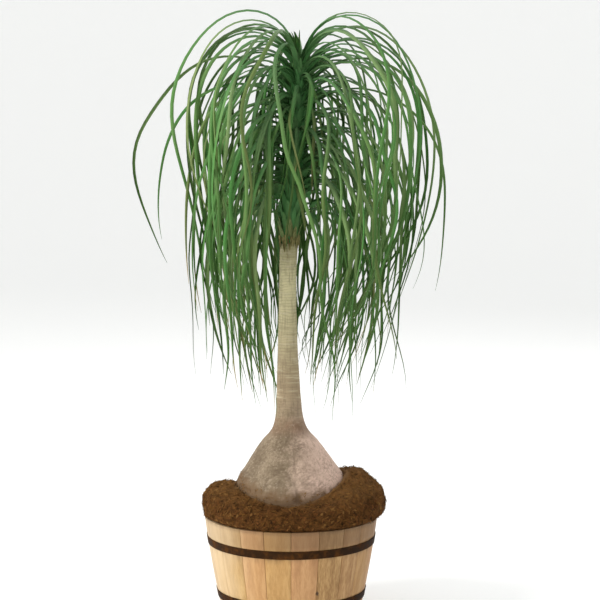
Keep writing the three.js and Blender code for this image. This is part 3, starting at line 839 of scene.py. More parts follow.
class PALM_OT_stem(bpy.types.Operator):
    """Gives the swollen stem base its cracked bark and the trunk its rings of leaf scars."""

    bl_idname = "palm.stem"
    bl_label = "Stem"

    def execute(self, context):
        settings = context.scene.palm_stem
        stem = face_out(new_object("stem_bark", stem_mesh(settings)))
        run_tree(
            stem, bark_tree(), Crack_Depth=settings.crack_depth, Scar_Spacing=settings.scar_spacing,
            Scar_Depth=settings.scar_depth, Lump=settings.lump, Material=stem_bark(settings),
        )
        shade(stem)
        settle(stem, "bark", "caudex_trunk")
        return {"FINISHED"}


# Mulch


class MulchSettings(bpy.types.PropertyGroup):
    coarse: size("Coarse relief", "Height of the mulch's clods", 9 * MM)
    fine: size("Fine relief", "Height of the mulch's crumbs", 4 * MM)
    chips: count("Chips", "Bark chips on a square metre", 8500)
    fibres: count("Fibres", "Coconut fibres on a square metre", 9000)
    seed: count("Seed", "Another number scatters them otherwise", 7)
    dark: colour("Dark mulch", "Wet and shaded mulch", 52, 33, 14)
    mid: colour("Mulch", "Main colour of the mulch", 99, 66, 31)
    pale: colour("Pale mulch", "Dry fibres and chips", 140, 104, 60)


def fine_copy(node, name, levels):
    """A smooth, finer copy of a node's mesh."""
    work = bmesh.new()
    work.from_mesh(frame["nodes"][node].data)
    bmesh.ops.remove_doubles(work, verts=work.verts, dist=0.01 * MM)
    mesh = bpy.data.meshes.new(name)
    work.to_mesh(mesh)
    work.free()
    shape = new_object(name, mesh)
    subdivide = shape.modifiers.new("Finer", "SUBSURF")
    subdivide.levels = levels
    subdivide.render_levels = levels
    return bake_modifiers(shape)


def mark_loose(mesh):
    """Marks the points that may move: those on top of the mulch, away from the stem and the tub."""
    x, y, z = points_of(mesh).T
    from_stem = ease(np.hypot(x, y) - stem_radius(z), 1.5 * MM, 10 * MM)
    give_attributes(mesh, loose=from_stem * ease(z, TUB_TOP + 1 * MM, TUB_TOP + 9 * MM))


def mark_littered(mesh):
    """Marks the foot of the stem, where crumbs of mulch cling, highest on the left."""
    x, y, z = points_of(mesh).T
    direction = np.arctan2(y, x)
    line = LITTER_HEIGHT + 1.4 * np.minimum(x, 0) ** 2
    ragged = 0.009 * (np.sin(61 * direction) + np.sin(23 * direction + 1))
    give_attributes(mesh, loose=ease(z - line - ragged, 0.016, -0.004))


def mulch_tree():
    """Raises clods and crumbs on a smooth mound of mulch."""
    tree = ShapeTree("Mulch relief", "Coarse", "Fine")
    clods = tree.noise(tree.position, 26.0, 3.0, 0.6, 0.6) - 0.5
    crumbs = tree.noise(tree.position, 120.0, 4.0, 0.7, 0.4) - 0.5
    height = (clods * tree["Coarse"] + crumbs * tree["Fine"]) * 2.2 * tree.named("loose")
    mound = tree.store(tree.geometry, "tone", crumbs * 1.2 + 0.3)
    return tree.finish(tree.push(mound, tree.normal, height))


def scatter_tree(name):
    """Scatters the objects of a collection over the loose part of a surface."""
    tree = ShapeTree(
        name, "Density", "Smallest", "Largest", "Lean", "Sink", "Loosest", Pieces="Collection", Seed="Int",
    )
    chosen = tree.math("GREATER_THAN", tree.named("loose"), tree["Loosest"])
    inputs = {"Mesh": tree.geometry, "Selection": chosen, "Density": tree["Density"], "Seed": tree["Seed"]}
    spread = tree.add("GeometryNodeDistributePointsOnFaces", inputs).outputs
    points, normal, upright = (Value(tree, spread[label]) for label in ("Points", "Normal", "Rotation"))
    points = tree.push(points, normal, -tree["Sink"])
    inputs = {"Collection": tree["Pieces"], "Separate Children": True, "Reset Children": True}
    pieces = tree.out("GeometryNodeCollectionInfo", inputs)
    lean = tree["Lean"]
    tilt = tree.combine(tree.random(-lean, lean, 3), tree.random(-lean, lean, 4), tree.random(-pi, pi, 5))
    inputs = {"Rotation": upright, "Rotate By": tree.out("FunctionNodeEulerToRotation", {0: tilt})}
    turned = tree.out("FunctionNodeRotateRotation", inputs, rotation_space="LOCAL")
    grown = tree.random(tree["Smallest"], tree["Largest"], 6)
    inputs = {"Pick Instance": True, "Rotation": turned, "Scale": grown}
    scattered = tree.instances(points, pieces, **inputs)
    return tree.finish(tree.store(scattered, "tone", tree.random(0.0, 1.0, 8), domain="INSTANCE"))


def chip_mesh(number):
    """A thin flake of bark, longer than it is wide, with an uneven outline and a slight curl."""
    corners = 7
    rings = [[], []]
    for i in range(corners):
        turn = 2 * pi * i / corners
        reach = draw(number * 17 + i, 120, 0.7, 1.15)
        x = 7.5 * MM * reach * cos(turn)
        for points, side in zip(rings, (-1, 1)):
            points.append((x, 3.0 * MM * reach * sin(turn), side * 0.7 * MM + 18 * x * x))
    return tube_mesh(f"chip_{number}", rings)


def fibre_mesh(number):
    """A thin bent strand that stands partly clear of the surface."""
    bend = draw(number, 130, -1, 1) * 9 * MM
    rings = []
    for t in np.linspace(0, 1, 7):
        x = mix(-15, 15, t) * MM
        y = bend * sin(pi * t * draw(number, 131, 0.7, 1.6))
        z = 5 * MM * sin(pi * t * draw(number, 132, 0.8, 1.7))
        thick = mix(0.55, 0.3, abs(2 * t - 1)) * MM
        turns = (0, 2 * pi / 3, 4 * pi / 3)
        rings.append([(x, y + cos(turn) * thick, z + sin(turn) * thick) for turn in turns])
    return tube_mesh(f"fibre_{number}", rings)


def template_collection(name, meshes):
    """Pieces for a tree to scatter, in a collection that isn't in the scene."""
    collection = bpy.data.collections.new(name)
    for mesh in meshes:
        shape = bpy.data.objects.new(mesh.name, mesh)
        collection.objects.link(face_out(shape))
    return collection


def drop_collection(collection):
    for shape in list(collection.objects):
        bpy.data.objects.remove(shape)
    bpy.data.collections.remove(collection)


class PALM_OT_mulch(bpy.types.Operator):
    """Heaps the mulch round the stem, with loose bark chips and coconut fibres over it."""

    bl_idname = "palm.mulch"
    bl_label = "Mulch"

    def execute(self, context):
        settings = context.scene.palm_mulch
        material = mulch_matter(settings)
        mound = fine_copy("mulch", "mulch_mound", 3)
        mark_loose(mound.data)
        run_tree(mound, mulch_tree(), Coarse=settings.coarse, Fine=settings.fine, Material=material)
        shade(mound)
        settle(mound, "mulch", "mulch")
        litter = bpy.data.objects["stem_bark"].data.copy()
        mark_littered(litter)
        chips, fibres = float(settings.chips), float(settings.fibres)
        # Name, ground, template, pieces on a square metre, smallest and largest, lean, sink, least looseness
        coatings = (
            ("mulch_chips", mound.data, chip_mesh, chips, 0.45, 1.15, radians(38), 0.4 * MM, 0.35),
            ("mulch_fibres", mound.data, fibre_mesh, fibres, 0.35, 1.1, radians(34), 1.0 * MM, 0.04),
            ("chips_on_stem", litter, chip_mesh, chips, 0.3, 0.8, radians(30), 0.2 * MM, 0.55),
            ("fibres_on_stem", litter, fibre_mesh, fibres, 0.3, 0.8, radians(14), 0.2 * MM, 0.35),
        )
        for name, ground, template, density, smallest, largest, lean, sink, loosest in coatings:
            pieces = template_collection(name, [template(number) for number in range(5)])
            coating = new_object(name, ground.copy())
            run_tree(
                coating, scatter_tree(f"Scattered {name}"), Pieces=pieces, Density=density, Smallest=smallest,
                Largest=largest, Lean=lean, Sink=sink, Loosest=loosest, Seed=settings.seed, Material=material,
            )
            drop_collection(pieces)
            settle(coating, "mulch")
        repaint("potting_soil", potting_soil())
        return {"FINISHED"}


# Leaves


class CrownSettings(bpy.types.PropertyGroup):
    leaves: count("Leaves", "Leaves that the solid crown has too", 144, 14)
    fine_leaves: count("Fine leaves", "Further, narrower leaves", 60)
    upright_leaves: count("Upright leaves", "Young leaves that still stand up", 26)
    heart_leaves: count("Heart leaves", "Half-grown leaves close to the column", 72)
    width: size("Leaf width", "Width of a usual leaf", 12.5 * MM)
    fine_width: size("Fine leaf width", "Width of a narrow leaf", 9 * MM)
    wave: size("Wave", "How far a hanging leaf wanders from side to side", 20 * MM)
    bases: count("Leaf bases", "Leaf bases that sheathe the column", 150, 8)
    thickness: size("Leaf thickness", "Thickness of a leaf", 0.75 * MM)
    segments: count("Segments", "Steps along a leaf", 36, 6)
    core: colour("Leaf bases", "Deep green of the leaf column", 62, 156, 42)
    deep: colour("Deep green leaves", "The greenest leaves", 64, 124, 54)
    blade: colour("Leaves", "Main green of the leaves", 86, 122, 60)
    pale: colour("Pale leaves", "Pale, greyish green of some leaves", 126, 152, 96)
    dry: colour("Dry tips", "Straw colour of dry leaf tips", 156, 132, 82)


def new_leaf(direction, root, launch, reach, length, curl=0, sway=0, **more):
    """One leaf, from angles in degrees and sizes in millimetres."""
    angles = {"direction": direction, "launch": launch, "curl": curl, "sway": sway}
    sizes = {"root": root, "reach": reach, "length": length}
    record = {name: radians(value) for name, value in angles.items()}
    record.update((name, value * MM) for name, value in sizes.items())
    return {**record, **more}


def scattered_leaf(i, order, up):
    """A leaf of the rule: a golden angle further round than the one before it, and a little higher."""
    direction = order * GOLDEN_ANGLE + draw(i, 1, -8, 8)
    from_front = (direction + 270) % 360 - 180
    direction += copysign(FRONT_PARTING, from_front) * exp(-((from_front / PARTING_WIDTH) ** 2))
    to_side, facing = cos(radians(direction)), sin(radians(direction)) ** 2
    reach = mix(165, 345, up ** 0.6) * mix(0.5, 1.1, draw(i, 4) ** 0.5) * (1.03 + 0.07 * to_side)
    return new_leaf(
        direction,
        root=mix(CROWN_BOTTOM + 60, CROWN_TOP - 12, up ** 0.75),
        launch=(mix(34, 76, up) + draw(i, 2, -9, 9)) * (1 - 0.4 * facing),
        reach=reach,
        length=mix(640, 1250, up ** 0.9) * (1 + 0.05 * to_side) * draw(i, 5, 0.82, 1.12),
        curl=draw(i, 3, 2, 36) * min(1, reach / 240),
        sway=draw(i, 6, -32, 32),
    )


def upright_leaf(i):
    """A young leaf that still stands up in the crown's heart, and leans to the left."""
    return new_leaf(
        direction=draw(i, 3, 120, 272),
        root=CROWN_TOP - draw(i, 7, 16, 30),
        launch=draw(i, 2, 66, 84),
        reach=draw(i, 4, 220, 330),
        length=draw(i, 5, 66, 96),
        width=8 * MM,
        tone=draw(i, 10, 0.0, 0.3),
    )


def heart_leaf(i, order):
    """A half-grown leaf that arches over close to the column, and ends above the bare trunk."""
    root = mix(CROWN_BOTTOM + 120, CROWN_TOP - 30, draw(i, 7) ** 0.8)
    return new_leaf(
        direction=order * GOLDEN_ANGLE,
        root=root,
        launch=draw(i, 2, 38, 70),
        reach=draw(i, 4, 60, 170),
        length=min(draw(i, 5, 230, 480), root - CROWN_BOTTOM + 110),
        sway=draw(i, 6, -45, 45),
        width=11 * MM,
        covers_column=True,
    )


def leaf_shapes(settings):
    """Every leaf of the crown: the solid crown's own first, and then the fine ones between them."""
    outer = len(OUTER_LEAVES)
    inner = settings.leaves - outer
    leaves = [new_leaf(*row) for row in OUTER_LEAVES]
    leaves += [scattered_leaf(outer + k, k, (k + 0.5) / inner) for k in range(inner)]
    for i, leaf in enumerate(leaves):
        leaf["width"] = settings.width * draw(i, 8, 0.85, 1.15)
    for k in range(settings.fine_leaves):
        leaf = scattered_leaf(FIRST_FINE + k, k + 0.37, (k + 0.5) / settings.fine_leaves)
        leaves.append({**leaf, "width": settings.fine_width * draw(FIRST_FINE + k, 8, 0.8, 1.2)})
    leaves += [upright_leaf(FIRST_UPRIGHT + k) for k in range(settings.upright_leaves)]
    leaves += [heart_leaf(FIRST_HEART + k, k) for k in range(settings.heart_leaves)]
    for i, leaf in enumerate(leaves):
        turned = draw(i, 9, -1, 1)
        if i < outer:
            turned = copysign(mix(0.65, 0.9, abs(turned)), turned)
        leaf["roll"] = radians(MOST_ROLL * turned)
        leaf.setdefault("tone", draw(i, 10))
        leaf["wave_length"] = draw(i, 12, 0.32, 0.62)
        leaf["wave"] = settings.wave * draw(i, 11, 0.4, 1.4) * leaf["wave_length"] / 0.5
        leaf["wave_start"] = 2 * pi * draw(i, 13)
    return leaves


def slope(launch, t):
    """Slope of a leaf that leaves at one angle and bends over until it hangs."""
    return launch + (HANGING - launch) * (1 - np.exp(-(t ** 1.5)))


def throw_of(launch):
    """How far out a leaf gets for each unit of its bending length."""
    step = 0.01
    return float(np.cos(slope(launch, np.arange(0, 6, step) + step / 2)).sum() * step)


def clear_of_trunk(points, out, aside):
    """Keeps a hanging leaf on its own side of the trunk, and parts the leaves in front of it."""
    low = 1 - ease(points[:, 2], 1.0, 1.44)
    softly = ease(low, 0, 0.4)
    middle = stem_lean(points[:, 2])
    outward = (points[:, 0] - middle) * out[0] + points[:, 1] * out[1]
    push = np.hypot(np.maximum(outward, 0), low * TRUNK_CLEARANCE) - outward
    points += (push * softly)[:, None] * out
    in_front = out[1] < 0.2
    if in_front:
        beside = aside * (points[:, 0] - middle)
        apart = (beside + np.hypot(beside, 2 * low * PARTING)) / 2
        points[:, 0] = mix(points[:, 0], middle + aside * apart, softly)


def leaf_path(leaf):
    """Points along a leaf's middle, from its root to its tip."""
    bending = leaf["reach"] / throw_of(leaf["launch"])
    step = leaf["length"] / LEAF_STEPS
    s = (np.arange(LEAF_STEPS) + 0.5) * step
    tilt = slope(leaf["launch"], s / bending) - leaf["curl"] * np.maximum(0, (s - 1.5 * bending) / 0.5)
    turn = leaf["direction"] + leaf["sway"] * s ** 1.3
    moves = np.stack([np.cos(tilt) * np.cos(turn), np.cos(tilt) * np.sin(turn), np.sin(tilt)], 1) * step
    out = np.array([cos(leaf["direction"]), sin(leaf["direction"]), 0])
    side = np.array([-out[1], out[0], 0])
    start = out * ROOT_RADIUS + np.array([0, 0, leaf["root"]])
    points = np.vstack([start, start + np.cumsum(moves, 0)])
    drift = sin(leaf["sway"]) * np.maximum(0, s + step / 2 - 1.2 * bending) * 0.35
    swing = leaf["wave"] * ease(s, 0.12, 0.6)
    phase = 2 * pi * s / leaf["wave_length"] + leaf["wave_start"]
    points[1:] += (drift + swing * np.sin(phase))[:, None] * side
    points[1:] += (0.6 * swing * np.cos(0.8 * phase))[:, None] * out
    aside = copysign(1, points[LEAF_STEPS // 2, 0])
    points[:, 0] += stem_lean(leaf["root"])
    if not leaf.get("covers_column"):
        clear_of_trunk(points, out, aside)
    below = np.nonzero(points[:, 2] < LEAF_FLOOR)[0]
    return points[: below[0] + 1] if len(below) else points


def midrib_mesh(leaves, segments):
    """One line of edges along the middle of each leaf, with the width, roll and tone of its points."""
    t = np.linspace(0, 1, segments + 1) ** 1.15
    taper = (1 - 0.92 * np.maximum(0, (t - 0.45) / 0.55) ** 1.8) * (1 + 0.9 * np.exp(-t * 14))
    rolled = ease(t, 0.03, 0.55)
    points, edges = [], []
    for leaf in leaves:
        path = leaf_path(leaf)
        position = t * (len(path) - 1)
        edges += [(i, i + 1) for i in range(len(points), len(points) + segments)]
        points += zip(*(np.interp(position, np.arange(len(path)), column) for column in path.T))
    mesh = mesh_from("midribs", points, edges=edges)
    give_attributes(
        mesh,
        leaf_width=np.concatenate([leaf["width"] * taper for leaf in leaves]),
        roll=np.concatenate([leaf["roll"] * rolled for leaf in leaves]),
        tone=np.repeat([leaf["tone"] for leaf in leaves], len(t)),
        along=np.tile(t, len(leaves)),
    )
    return mesh


def blade_section(settings):
    """Section of a leaf one unit wide: a channel with thin edges."""
    thick = settings.thickness / settings.width
    upper = [(-0.48, 0.19), (-0.26, 0.05), (0.0, -0.08), (0.26, 0.05), (0.48, 0.19)]
    lower = [(0.27, 0.05 - thick), (0.0, -0.08 - 1.2 * thick), (-0.27, 0.05 - thick)]
    points = [(x, y, 0) for x, y in upper + lower]
    edges = [(i, (i + 1) % len(points)) for i in range(len(points))]
    return mesh_from("blade_section", points, edges=edges)


def leaf_tree():
    """Sweeps a leaf's section along each midrib."""
    tree = ShapeTree("Leaves along midribs", Section="Object")
    lines = tree.out("GeometryNodeMeshToCurve", {"Mesh": tree.geometry})
    lines = tree.out("GeometryNodeSetCurveTilt", {"Curve": lines, "Tilt": tree.named("roll")})
    across = tree.separate(tree.position)[0] * 2.0
    section = tree.store(tree.object("Section"), "across", across)
    section = tree.out("GeometryNodeMeshToCurve", {"Mesh": section})
    return tree.finish(tree.sweep(lines, section, Scale=tree.named("leaf_width")))


def column_radius(z):
    return np.interp(z, *zip(*COLUMN))


def column_mesh():
    """The core that the leaf bases sheathe."""
    return tube_mesh("leaf_column", [ring(stem_lean(z), radius, z, COLUMN_SIDES) for z, radius in COLUMN])


def sheath_mesh():
    """One leaf base: a shield that is curved round the column, with its tip bent out."""
    rows, columns = 7, 5
    points = []
    for side in (0, 1):
        for row in range(rows):
            v = row / (rows - 1)
            half = mix(12.5, 2.2, v ** 1.6) * MM
            for column in range(columns):
                y = half * (column - (columns - 1) / 2) / ((columns - 1) / 2)
                x = -y * y / 0.045 + 9 * MM * v ** 2.2 - side * mix(1.6, 0.7, v) * MM
                points.append((x, y, 62 * MM * v))
    back = rows * columns
    faces = []
    for row in range(rows - 1):
        for column in range(columns - 1):
            a = row * columns + column
            faces.append((a, a + 1, a + columns + 1, a + columns))
            faces.append((back + a, back + a + columns, back + a + columns + 1, back + a + 1))
    rim = list(range(columns))
    rim += [row * columns + columns - 1 for row in range(1, rows)]
    rim += [(rows - 1) * columns + column for column in range(columns - 2, -1, -1)]
    rim += [row * columns for row in range(rows - 2, 0, -1)]
    faces += [(here, back + here, back + there, there) for here, there in zip(rim, rim[1:] + rim[:1])]
    return mesh_from("leaf_base", points, faces)


def base_points(number):
    """Where the leaf bases sit, how they are turned, lifted and sized, and their tone and dryness.
    The oldest fifth are dry stubs that hang round the column's foot."""
    old = number // 5
    rows = []
    for i in range(number):
        turn = radians(i * GOLDEN_ANGLE)
        if i < old:
            z = mix(1.088, 1.112, i / old)
            lift = radians(draw(i, 140, 170, 182))
            radius, grown, dry = 0.0275, draw(i, 141, 0.25, 0.6), 1.0
        else:
            up = (i - old) / (number - old)
            z = mix(1.082, 1.585, up)
            lift = radians(draw(i, 140, 2, 10))
            radius = column_radius(z) + 1.0 * MM
            grown = draw(i, 141, 0.8, 1.1) * mix(1.0, 0.8, up)
            dry = min(1.0, (1 - ease(z, 1.085, 1.14)) * draw(i, 142, 0.5, 1.3))
        place = (stem_lean(z) + radius * cos(turn), radius * sin(turn), z)
        rows.append((place, turn, lift, grown, draw(i, 143), dry))
    return zip(*rows)


def base_tree():
    """Sets a leaf base at each point of the column, turned to face outwards."""
    tree = ShapeTree("Leaf bases round a column", Base="Object")
    turn = tree.combine(0.0, tree.named("lift"), tree.named("turn"))
    bases = tree.instances(tree.geometry, tree.object("Base"), Rotation=turn, Scale=tree.named("size"))
    return tree.finish(bases)


def sheathe_column(settings, material):
    """Covers the column with leaf bases."""
    points, turn, lift, grown, tone, dry = base_points(settings.bases)
    bases = new_object("crown_bases", mesh_from("crown_bases", points))
    give_attributes(bases.data, turn=turn, lift=lift, size=grown, tone=tone, dry=dry)
    base = face_out(new_object("leaf_base", sheath_mesh()))
    run_tree(bases, base_tree(), Base=base, Material=material)
    bpy.data.objects.remove(base)
    shade(bases, 60)
    settle(bases, "leaf")


class PALM_OT_leaves(bpy.types.Operator):
    """Grows the long arching leaves out of the column of leaf bases."""

    bl_idname = "palm.leaves"
    bl_label = "Leaves"

    def execute(self, context):
        settings = context.scene.palm_crown
        material = leaf_skin(settings)
        section = new_object("blade_section", blade_section(settings))
        leaves = leaf_shapes(settings)
        tree = leaf_tree()
        for name, chosen, nodes in (
            ("crown_leaves", leaves[: settings.leaves], ["leaf_crown"]),
            ("crown_fine_leaves", leaves[settings.leaves:], []),
        ):
            blades = new_object(name, midrib_mesh(chosen, settings.segments))
            run_tree(blades, tree, Section=section, Material=material)
            shade(face_out(blades), 60)
            settle(blades, "leaf", *nodes)
        bpy.data.objects.remove(section)
        column = new_object("crown_column", column_mesh())
        column.data.materials.append(material)
        shade(column)
        settle(column, "leaf")
        sheathe_column(settings, material)
        return {"FINISHED"}


# Finishes


def lay_grain(look, settings, grain, tone):
    """Straight-grained timber: streaks along the grain and a tone for each board. Gives the streaks."""
    coarse = look.noise(look.scaled(grain, 1.0, 1.0, 0.05), 55.0, 4.0, 0.6, 0.4)
    fine = look.noise(look.scaled(grain, 1.0, 1.0, 0.03), 330.0, 3.0, 0.6)
    blotch = look.noise(look.scaled(grain, 1.0, 1.0, 0.3), 16.0)
    streak = coarse * 0.65 + fine * 0.35
    look.coat(streak.between(0.30, 0.56), settings.mid_wood)
    look.coat(streak.between(0.46, 0.70), settings.light_wood)
    look.coat(tone.between(0.45, 1.0, 0.0, 0.5), "warm board")
    look.coat((tone * 3.7).fraction().between(0.35, 1.0, 0.0, 0.5), "yellow board")
    look.coat(blotch.between(0.5, 0.75, 0.0, 0.25), settings.dark_wood)
    look.set(Roughness=streak.between(0.3, 0.7, 0.72, 0.52))
    return streak


def add_knot(look, place):
    """A dark oval knot in the front of the tub."""
    offset = look.scaled(look.vector("SUBTRACT", place, KNOT), 1.0, 0.4, 0.6)
    away = look.out("ShaderNodeVectorMath", {0: offset}, "Value", operation="LENGTH")
    ragged = look.noise(place, 180.0, 2.0) * (3 * MM) + away
    look.coat(ragged.between(4.5 * MM, 8 * MM, 0.92, 0.0), "knot")


def stave_wood(settings):
    """Timber with painted light on its left and painted shade on its right, with rain marks, stains under the
    hoops, a damp band below the rim that carries painted shade too, darker at the top and at the foot, and a
    knot.
    """
    look = Finish("Stave wood", settings.dark_wood)
    streak = lay_grain(look, settings, look.attribute("grain", "Vector"), look.attribute("tone"))
    place = look.place()
    x, _, z = look.separate(place)
    drip = look.noise(look.scaled(place, 1.0, 1.0, 0.12), 38.0)
    # Painted light on the tub's left side, where the key light falls
    look.coat((drip * 0.08 + x).between(-0.04, -0.22, 0.0, 0.65), settings.painted_light_on_wood)
    for node in HOOPS.values():
        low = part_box(node)[0].z
        below = z.between(low - 22 * MM, low) * look.math("LESS_THAN", z, low + 20 * MM)
        look.coat(below * drip.between(0.4, 0.7) * 0.5, "stain under a hoop")
    # A damp band below the rim, with painted shade that deepens away from the key light on the left
    damp_band_and_shade = z.between(TUB_TOP - 70 * MM, TUB_TOP - 40 * MM, 0.0, 0.66)
    look.coat(damp_band_and_shade * x.between(-0.19, 0.03, 0.35, 1.0), "damp wood")
    # Painted shade on the tub's right side, away from the key light
    look.coat((drip * 0.06 + x).between(0.08, 0.24, 0.0, 0.3), "shaded wood")
    # Darker at the top of the staves, in patches
    look.coat(z.between(TUB_TOP - 14 * MM, TUB_TOP, 0.0, 0.7) * drip, "wet rim")
    # Darker towards the foot of the staves, in patches
    look.coat(z.between(0.0, 50 * MM, 0.55, 0.0) * drip, "muddy foot")
    add_knot(look, place)
    return look.finish(streak, 0.5, 0.6 * MM)


def head_wood(settings):
    """The same timber for the tub's floor, with its grain lying down, under an even coat of painted shade."""
    look = Finish("Head wood", settings.dark_wood)
    place = look.place()
    grain = look.out("ShaderNodeMapping", {"Vector": place, "Rotation": (0, radians(90), 0)})
    tone = look.noise(look.scaled(place, 0.0, 1.0, 0.0), 6.0, 0.0)
    streak = lay_grain(look, settings, grain, tone)
    # Painted shade over the whole floor, which lies inside the tub
    look.coat(0.55, "wood inside")
    return look.finish(streak, 0.5, 0.6 * MM)


def hoop_steel(settings):
    """Dark steel with patches of rust, and painted shade on the right."""
    look = Finish("Hoop steel", settings.steel, Specular_IOR_Level=0.1)
    place = look.place()
    patch = look.noise(place, 34.0, 5.0, 0.65)
    grit = look.noise(place, 420.0, 3.0, 0.6)
    rust = patch.between(0.44, 0.70)
    look.coat(rust, settings.rust)
    look.coat(grit.between(0.5, 0.8, 0.0, 0.5), "grit on steel")
    # Painted shade on the hoops' right side, away from the key light
    look.coat(look.separate(place)[0].between(0.04, 0.22, 0.0, 0.45), "damp steel")
    look.set(Roughness=rust.between(0.0, 1.0, 0.74, 0.95), Metallic=rust.between(0.0, 1.0, 0.15, 0.0))
    return look.finish(patch * 0.7 + grit * 0.3, 0.6, 0.5 * MM)


def stem_bark(settings):
    """Grey-tan bark, darker in its cracks with their own colour and painted shade, with painted shade in its
    cleft, and yellower, ringed and paler up the trunk, the paleness partly painted light.
    """
    look = Finish("Stem bark", settings.shaded_bark, Roughness=0.88)
    place = look.place()
    x, _, z = look.separate(place)
    mottle = look.noise(place, 22.0, 5.0, 0.65, 0.3)
    cork = look.noise(look.scaled(place, 1.0, 1.0, 0.6), 190.0, 4.0, 0.7)
    streak = look.noise(look.scaled(place, 1.0, 1.0, 0.1), 110.0, 4.0, 0.6)
    rings = look.noise(look.scaled(place, 0.12, 0.12, 1.0), 105.0, 3.0, 0.6)
    up_trunk = z.between(0.53, 0.68)
    down = 1.0 - up_trunk
    look.coat(mottle.between(0.42, 0.60), settings.bark)
    pink = (mottle * 0.14 + x).between(0.03, 0.17)
    look.coat(pink, settings.pale_bark)
    neck = abs(z - NECK_HEIGHT).between(0.0, 0.040, 0.95, 0.0)
    look.coat(neck * mottle.between(0.38, 0.56, 0.55, 1.0), "brown neck")
    look.coat(up_trunk, settings.trunk_bark)
    # Greener, paler bark up the trunk: its own colour, with painted light where the crown shades it
    look.coat(z.between(0.66, 0.96), settings.young_bark_and_painted_light)
    look.coat(z.between(1.0, 1.08, 0.0, 0.6), "olive trunk")
    look.coat(streak.between(0.50, 0.66, 0.0, 0.32), settings.crack)
    look.coat(rings.between(0.50, 0.66, 0.0, 0.2) * up_trunk, settings.crack)
    look.coat(rings.between(0.44, 0.36, 0.0, 0.45) * up_trunk, "pale ring")
    pit = cork.between(0.52, 0.7, 0.0, 0.6) * (down * 0.6 + 0.4)
    look.coat(pit * (pink * -0.55 + 1.0), "pit")
    look.coat(cork.between(0.46, 0.32, 0.0, 0.4) * down, "high cork")
    # The cracks' own colour, laid as painted shade in the cracks and ring scars
    look.coat(look.attribute("crack") * (pink * -0.4 + 0.8), settings.crack)
    # Painted shade in the cleft at the front of the base
    look.coat(look.attribute("cleft").between(0.45, 0.95, 0.0, 0.75), "cleft")
    leftward = look.math("MINIMUM", x, 0.0)
    earth_line = leftward * leftward * 1.5 + EARTH_HEIGHT
    above = z + (look.noise(place, 34.0, 4.0) * 0.07 + -0.035) - earth_line
    look.coat(above.between(-0.012, 0.024, 0.85, 0.0), "earthy bark")
    return look.finish(rings * 0.2 + (cork * 0.55 + streak * 0.25), 0.8, 1.4 * MM)


def mulch_matter(settings):
    """Brown bark and fibre, with its own tone for each chip."""
    look = Finish("Mulch", settings.dark, Roughness=1.0, Specular_IOR_Level=0.08)
    place = look.place()
    tone = look.attribute("tone")
    clump = look.noise(place, 20.0)
    crumb = look.noise(place, 300.0, 4.0, 0.7)
    shift = crumb * 0.5 + (clump * 0.5 + tone) - 0.5
    look.coat(shift.between(0.05, 0.6), settings.mid)
    look.coat(shift.between(0.60, 1.25), settings.pale)
    look.coat((tone * 9.1).fraction().between(0.6, 0.9, 0.0, 0.45), "red chip")
    x, y, z = look.separate(place)
    look.coat(z.between(0.345, 0.395, 0.0, 0.22), settings.pale)
    from_middle = look.math("SQRT", x * x + y * y)
    look.coat((clump * 0.016 + from_middle).between(0.162, 0.186, 0.65, 0.0), "dusty mulch")
    return look.finish(crumb, 0.8, 1.2 * MM)


def potting_soil():
    """Dark crumbs with pale grit."""
    look = Finish("Potting soil", "wet soil", Roughness=0.97)
    place = look.place()
    crumb = look.noise(place, 160.0, 5.0, 0.7)
    look.coat(crumb.between(0.35, 0.65), "soil")
    look.coat(look.cells(place, 210.0, "F1").between(0.0, 0.12, 0.55, 0.0), "grit in soil")
    return look.finish(crumb, 1.0, 2.0 * MM)


def leaf_skin(settings):
    """Green leaves with fine lengthwise veins, a tone for each leaf, painted shade towards their ends, and
    some dry tips.
    """
    look = Finish("Leaf", settings.deep, Specular_IOR_Level=0.25)
    tone, along, across = (look.attribute(name) for name in ("tone", "along", "across"))
    vein = look.noise(look.combine(across * 9.0, tone, along * 2.0), 3.0, 2.0)
    patch = look.noise(look.combine(along * 6.0, tone * 40.0, 0.0), 1.0)
    look.coat(tone.between(0.0, 0.75), settings.blade)
    look.coat(tone.between(0.68, 1.0, 0.0, 0.75), settings.pale)
    look.coat(along.between(0.0, 0.22, 0.75, 0.0), settings.core)
    look.coat(patch.between(0.45, 0.7, 0.0, 0.35), settings.pale)
    look.coat(along.between(0.06, 0.46, 0.48, 0.0), "greyish leaf root")
    # Painted shade on the outer half of each leaf, where the hanging leaves shade each other
    look.coat(along.between(0.42, 0.78, 0.0, 0.80), "deep leaf end")
    look.coat(vein.between(0.5, 0.68, 0.0, 0.35), "leaf vein")
    ageing = (tone * 5.3).fraction().between(0.80, 1.0, 0.0, 0.45)
    look.coat(ageing * along.between(0.15, 0.5), "ageing leaf")
    look.coat(abs(across).between(0.78, 1.0, 0.0, 0.3), "leaf edge")
    dry_from = (tone * 13.7).fraction().between(0.6, 1.0, 1.0, 0.86)
    look.coat(along.between(dry_from, dry_from + 0.08, 0.0, 0.8), settings.dry)
    husk = look.noise(look.scaled(look.place(), 1.0, 1.0, 0.2), 160.0)
    look.coat(look.attribute("dry"), look.mixed(husk.between(0.35, 0.65), "husk", "pale husk"))
    look.set(Roughness=patch.between(0.3, 0.7, 0.58, 0.72))
    return look.finish(vein, 0.35, 0.3 * MM)


# Stage


FRAME_PX = 600
SKY = (1.0, 0.995, 0.98, 1.0)
SKY_STRENGTH = 0.74

# Each light: place, target, size, power and colour
LIGHTS = {
    "key": ((-4.8, -2.2, 3.8), (0, 0, 0.8), 2.0, 250, (1.0, 0.98, 0.94)),
    "back": ((1.6, 3.6, 4.2), (0, 0, 1.1), 2.4, 80, (1.0, 1.0, 1.0)),
}


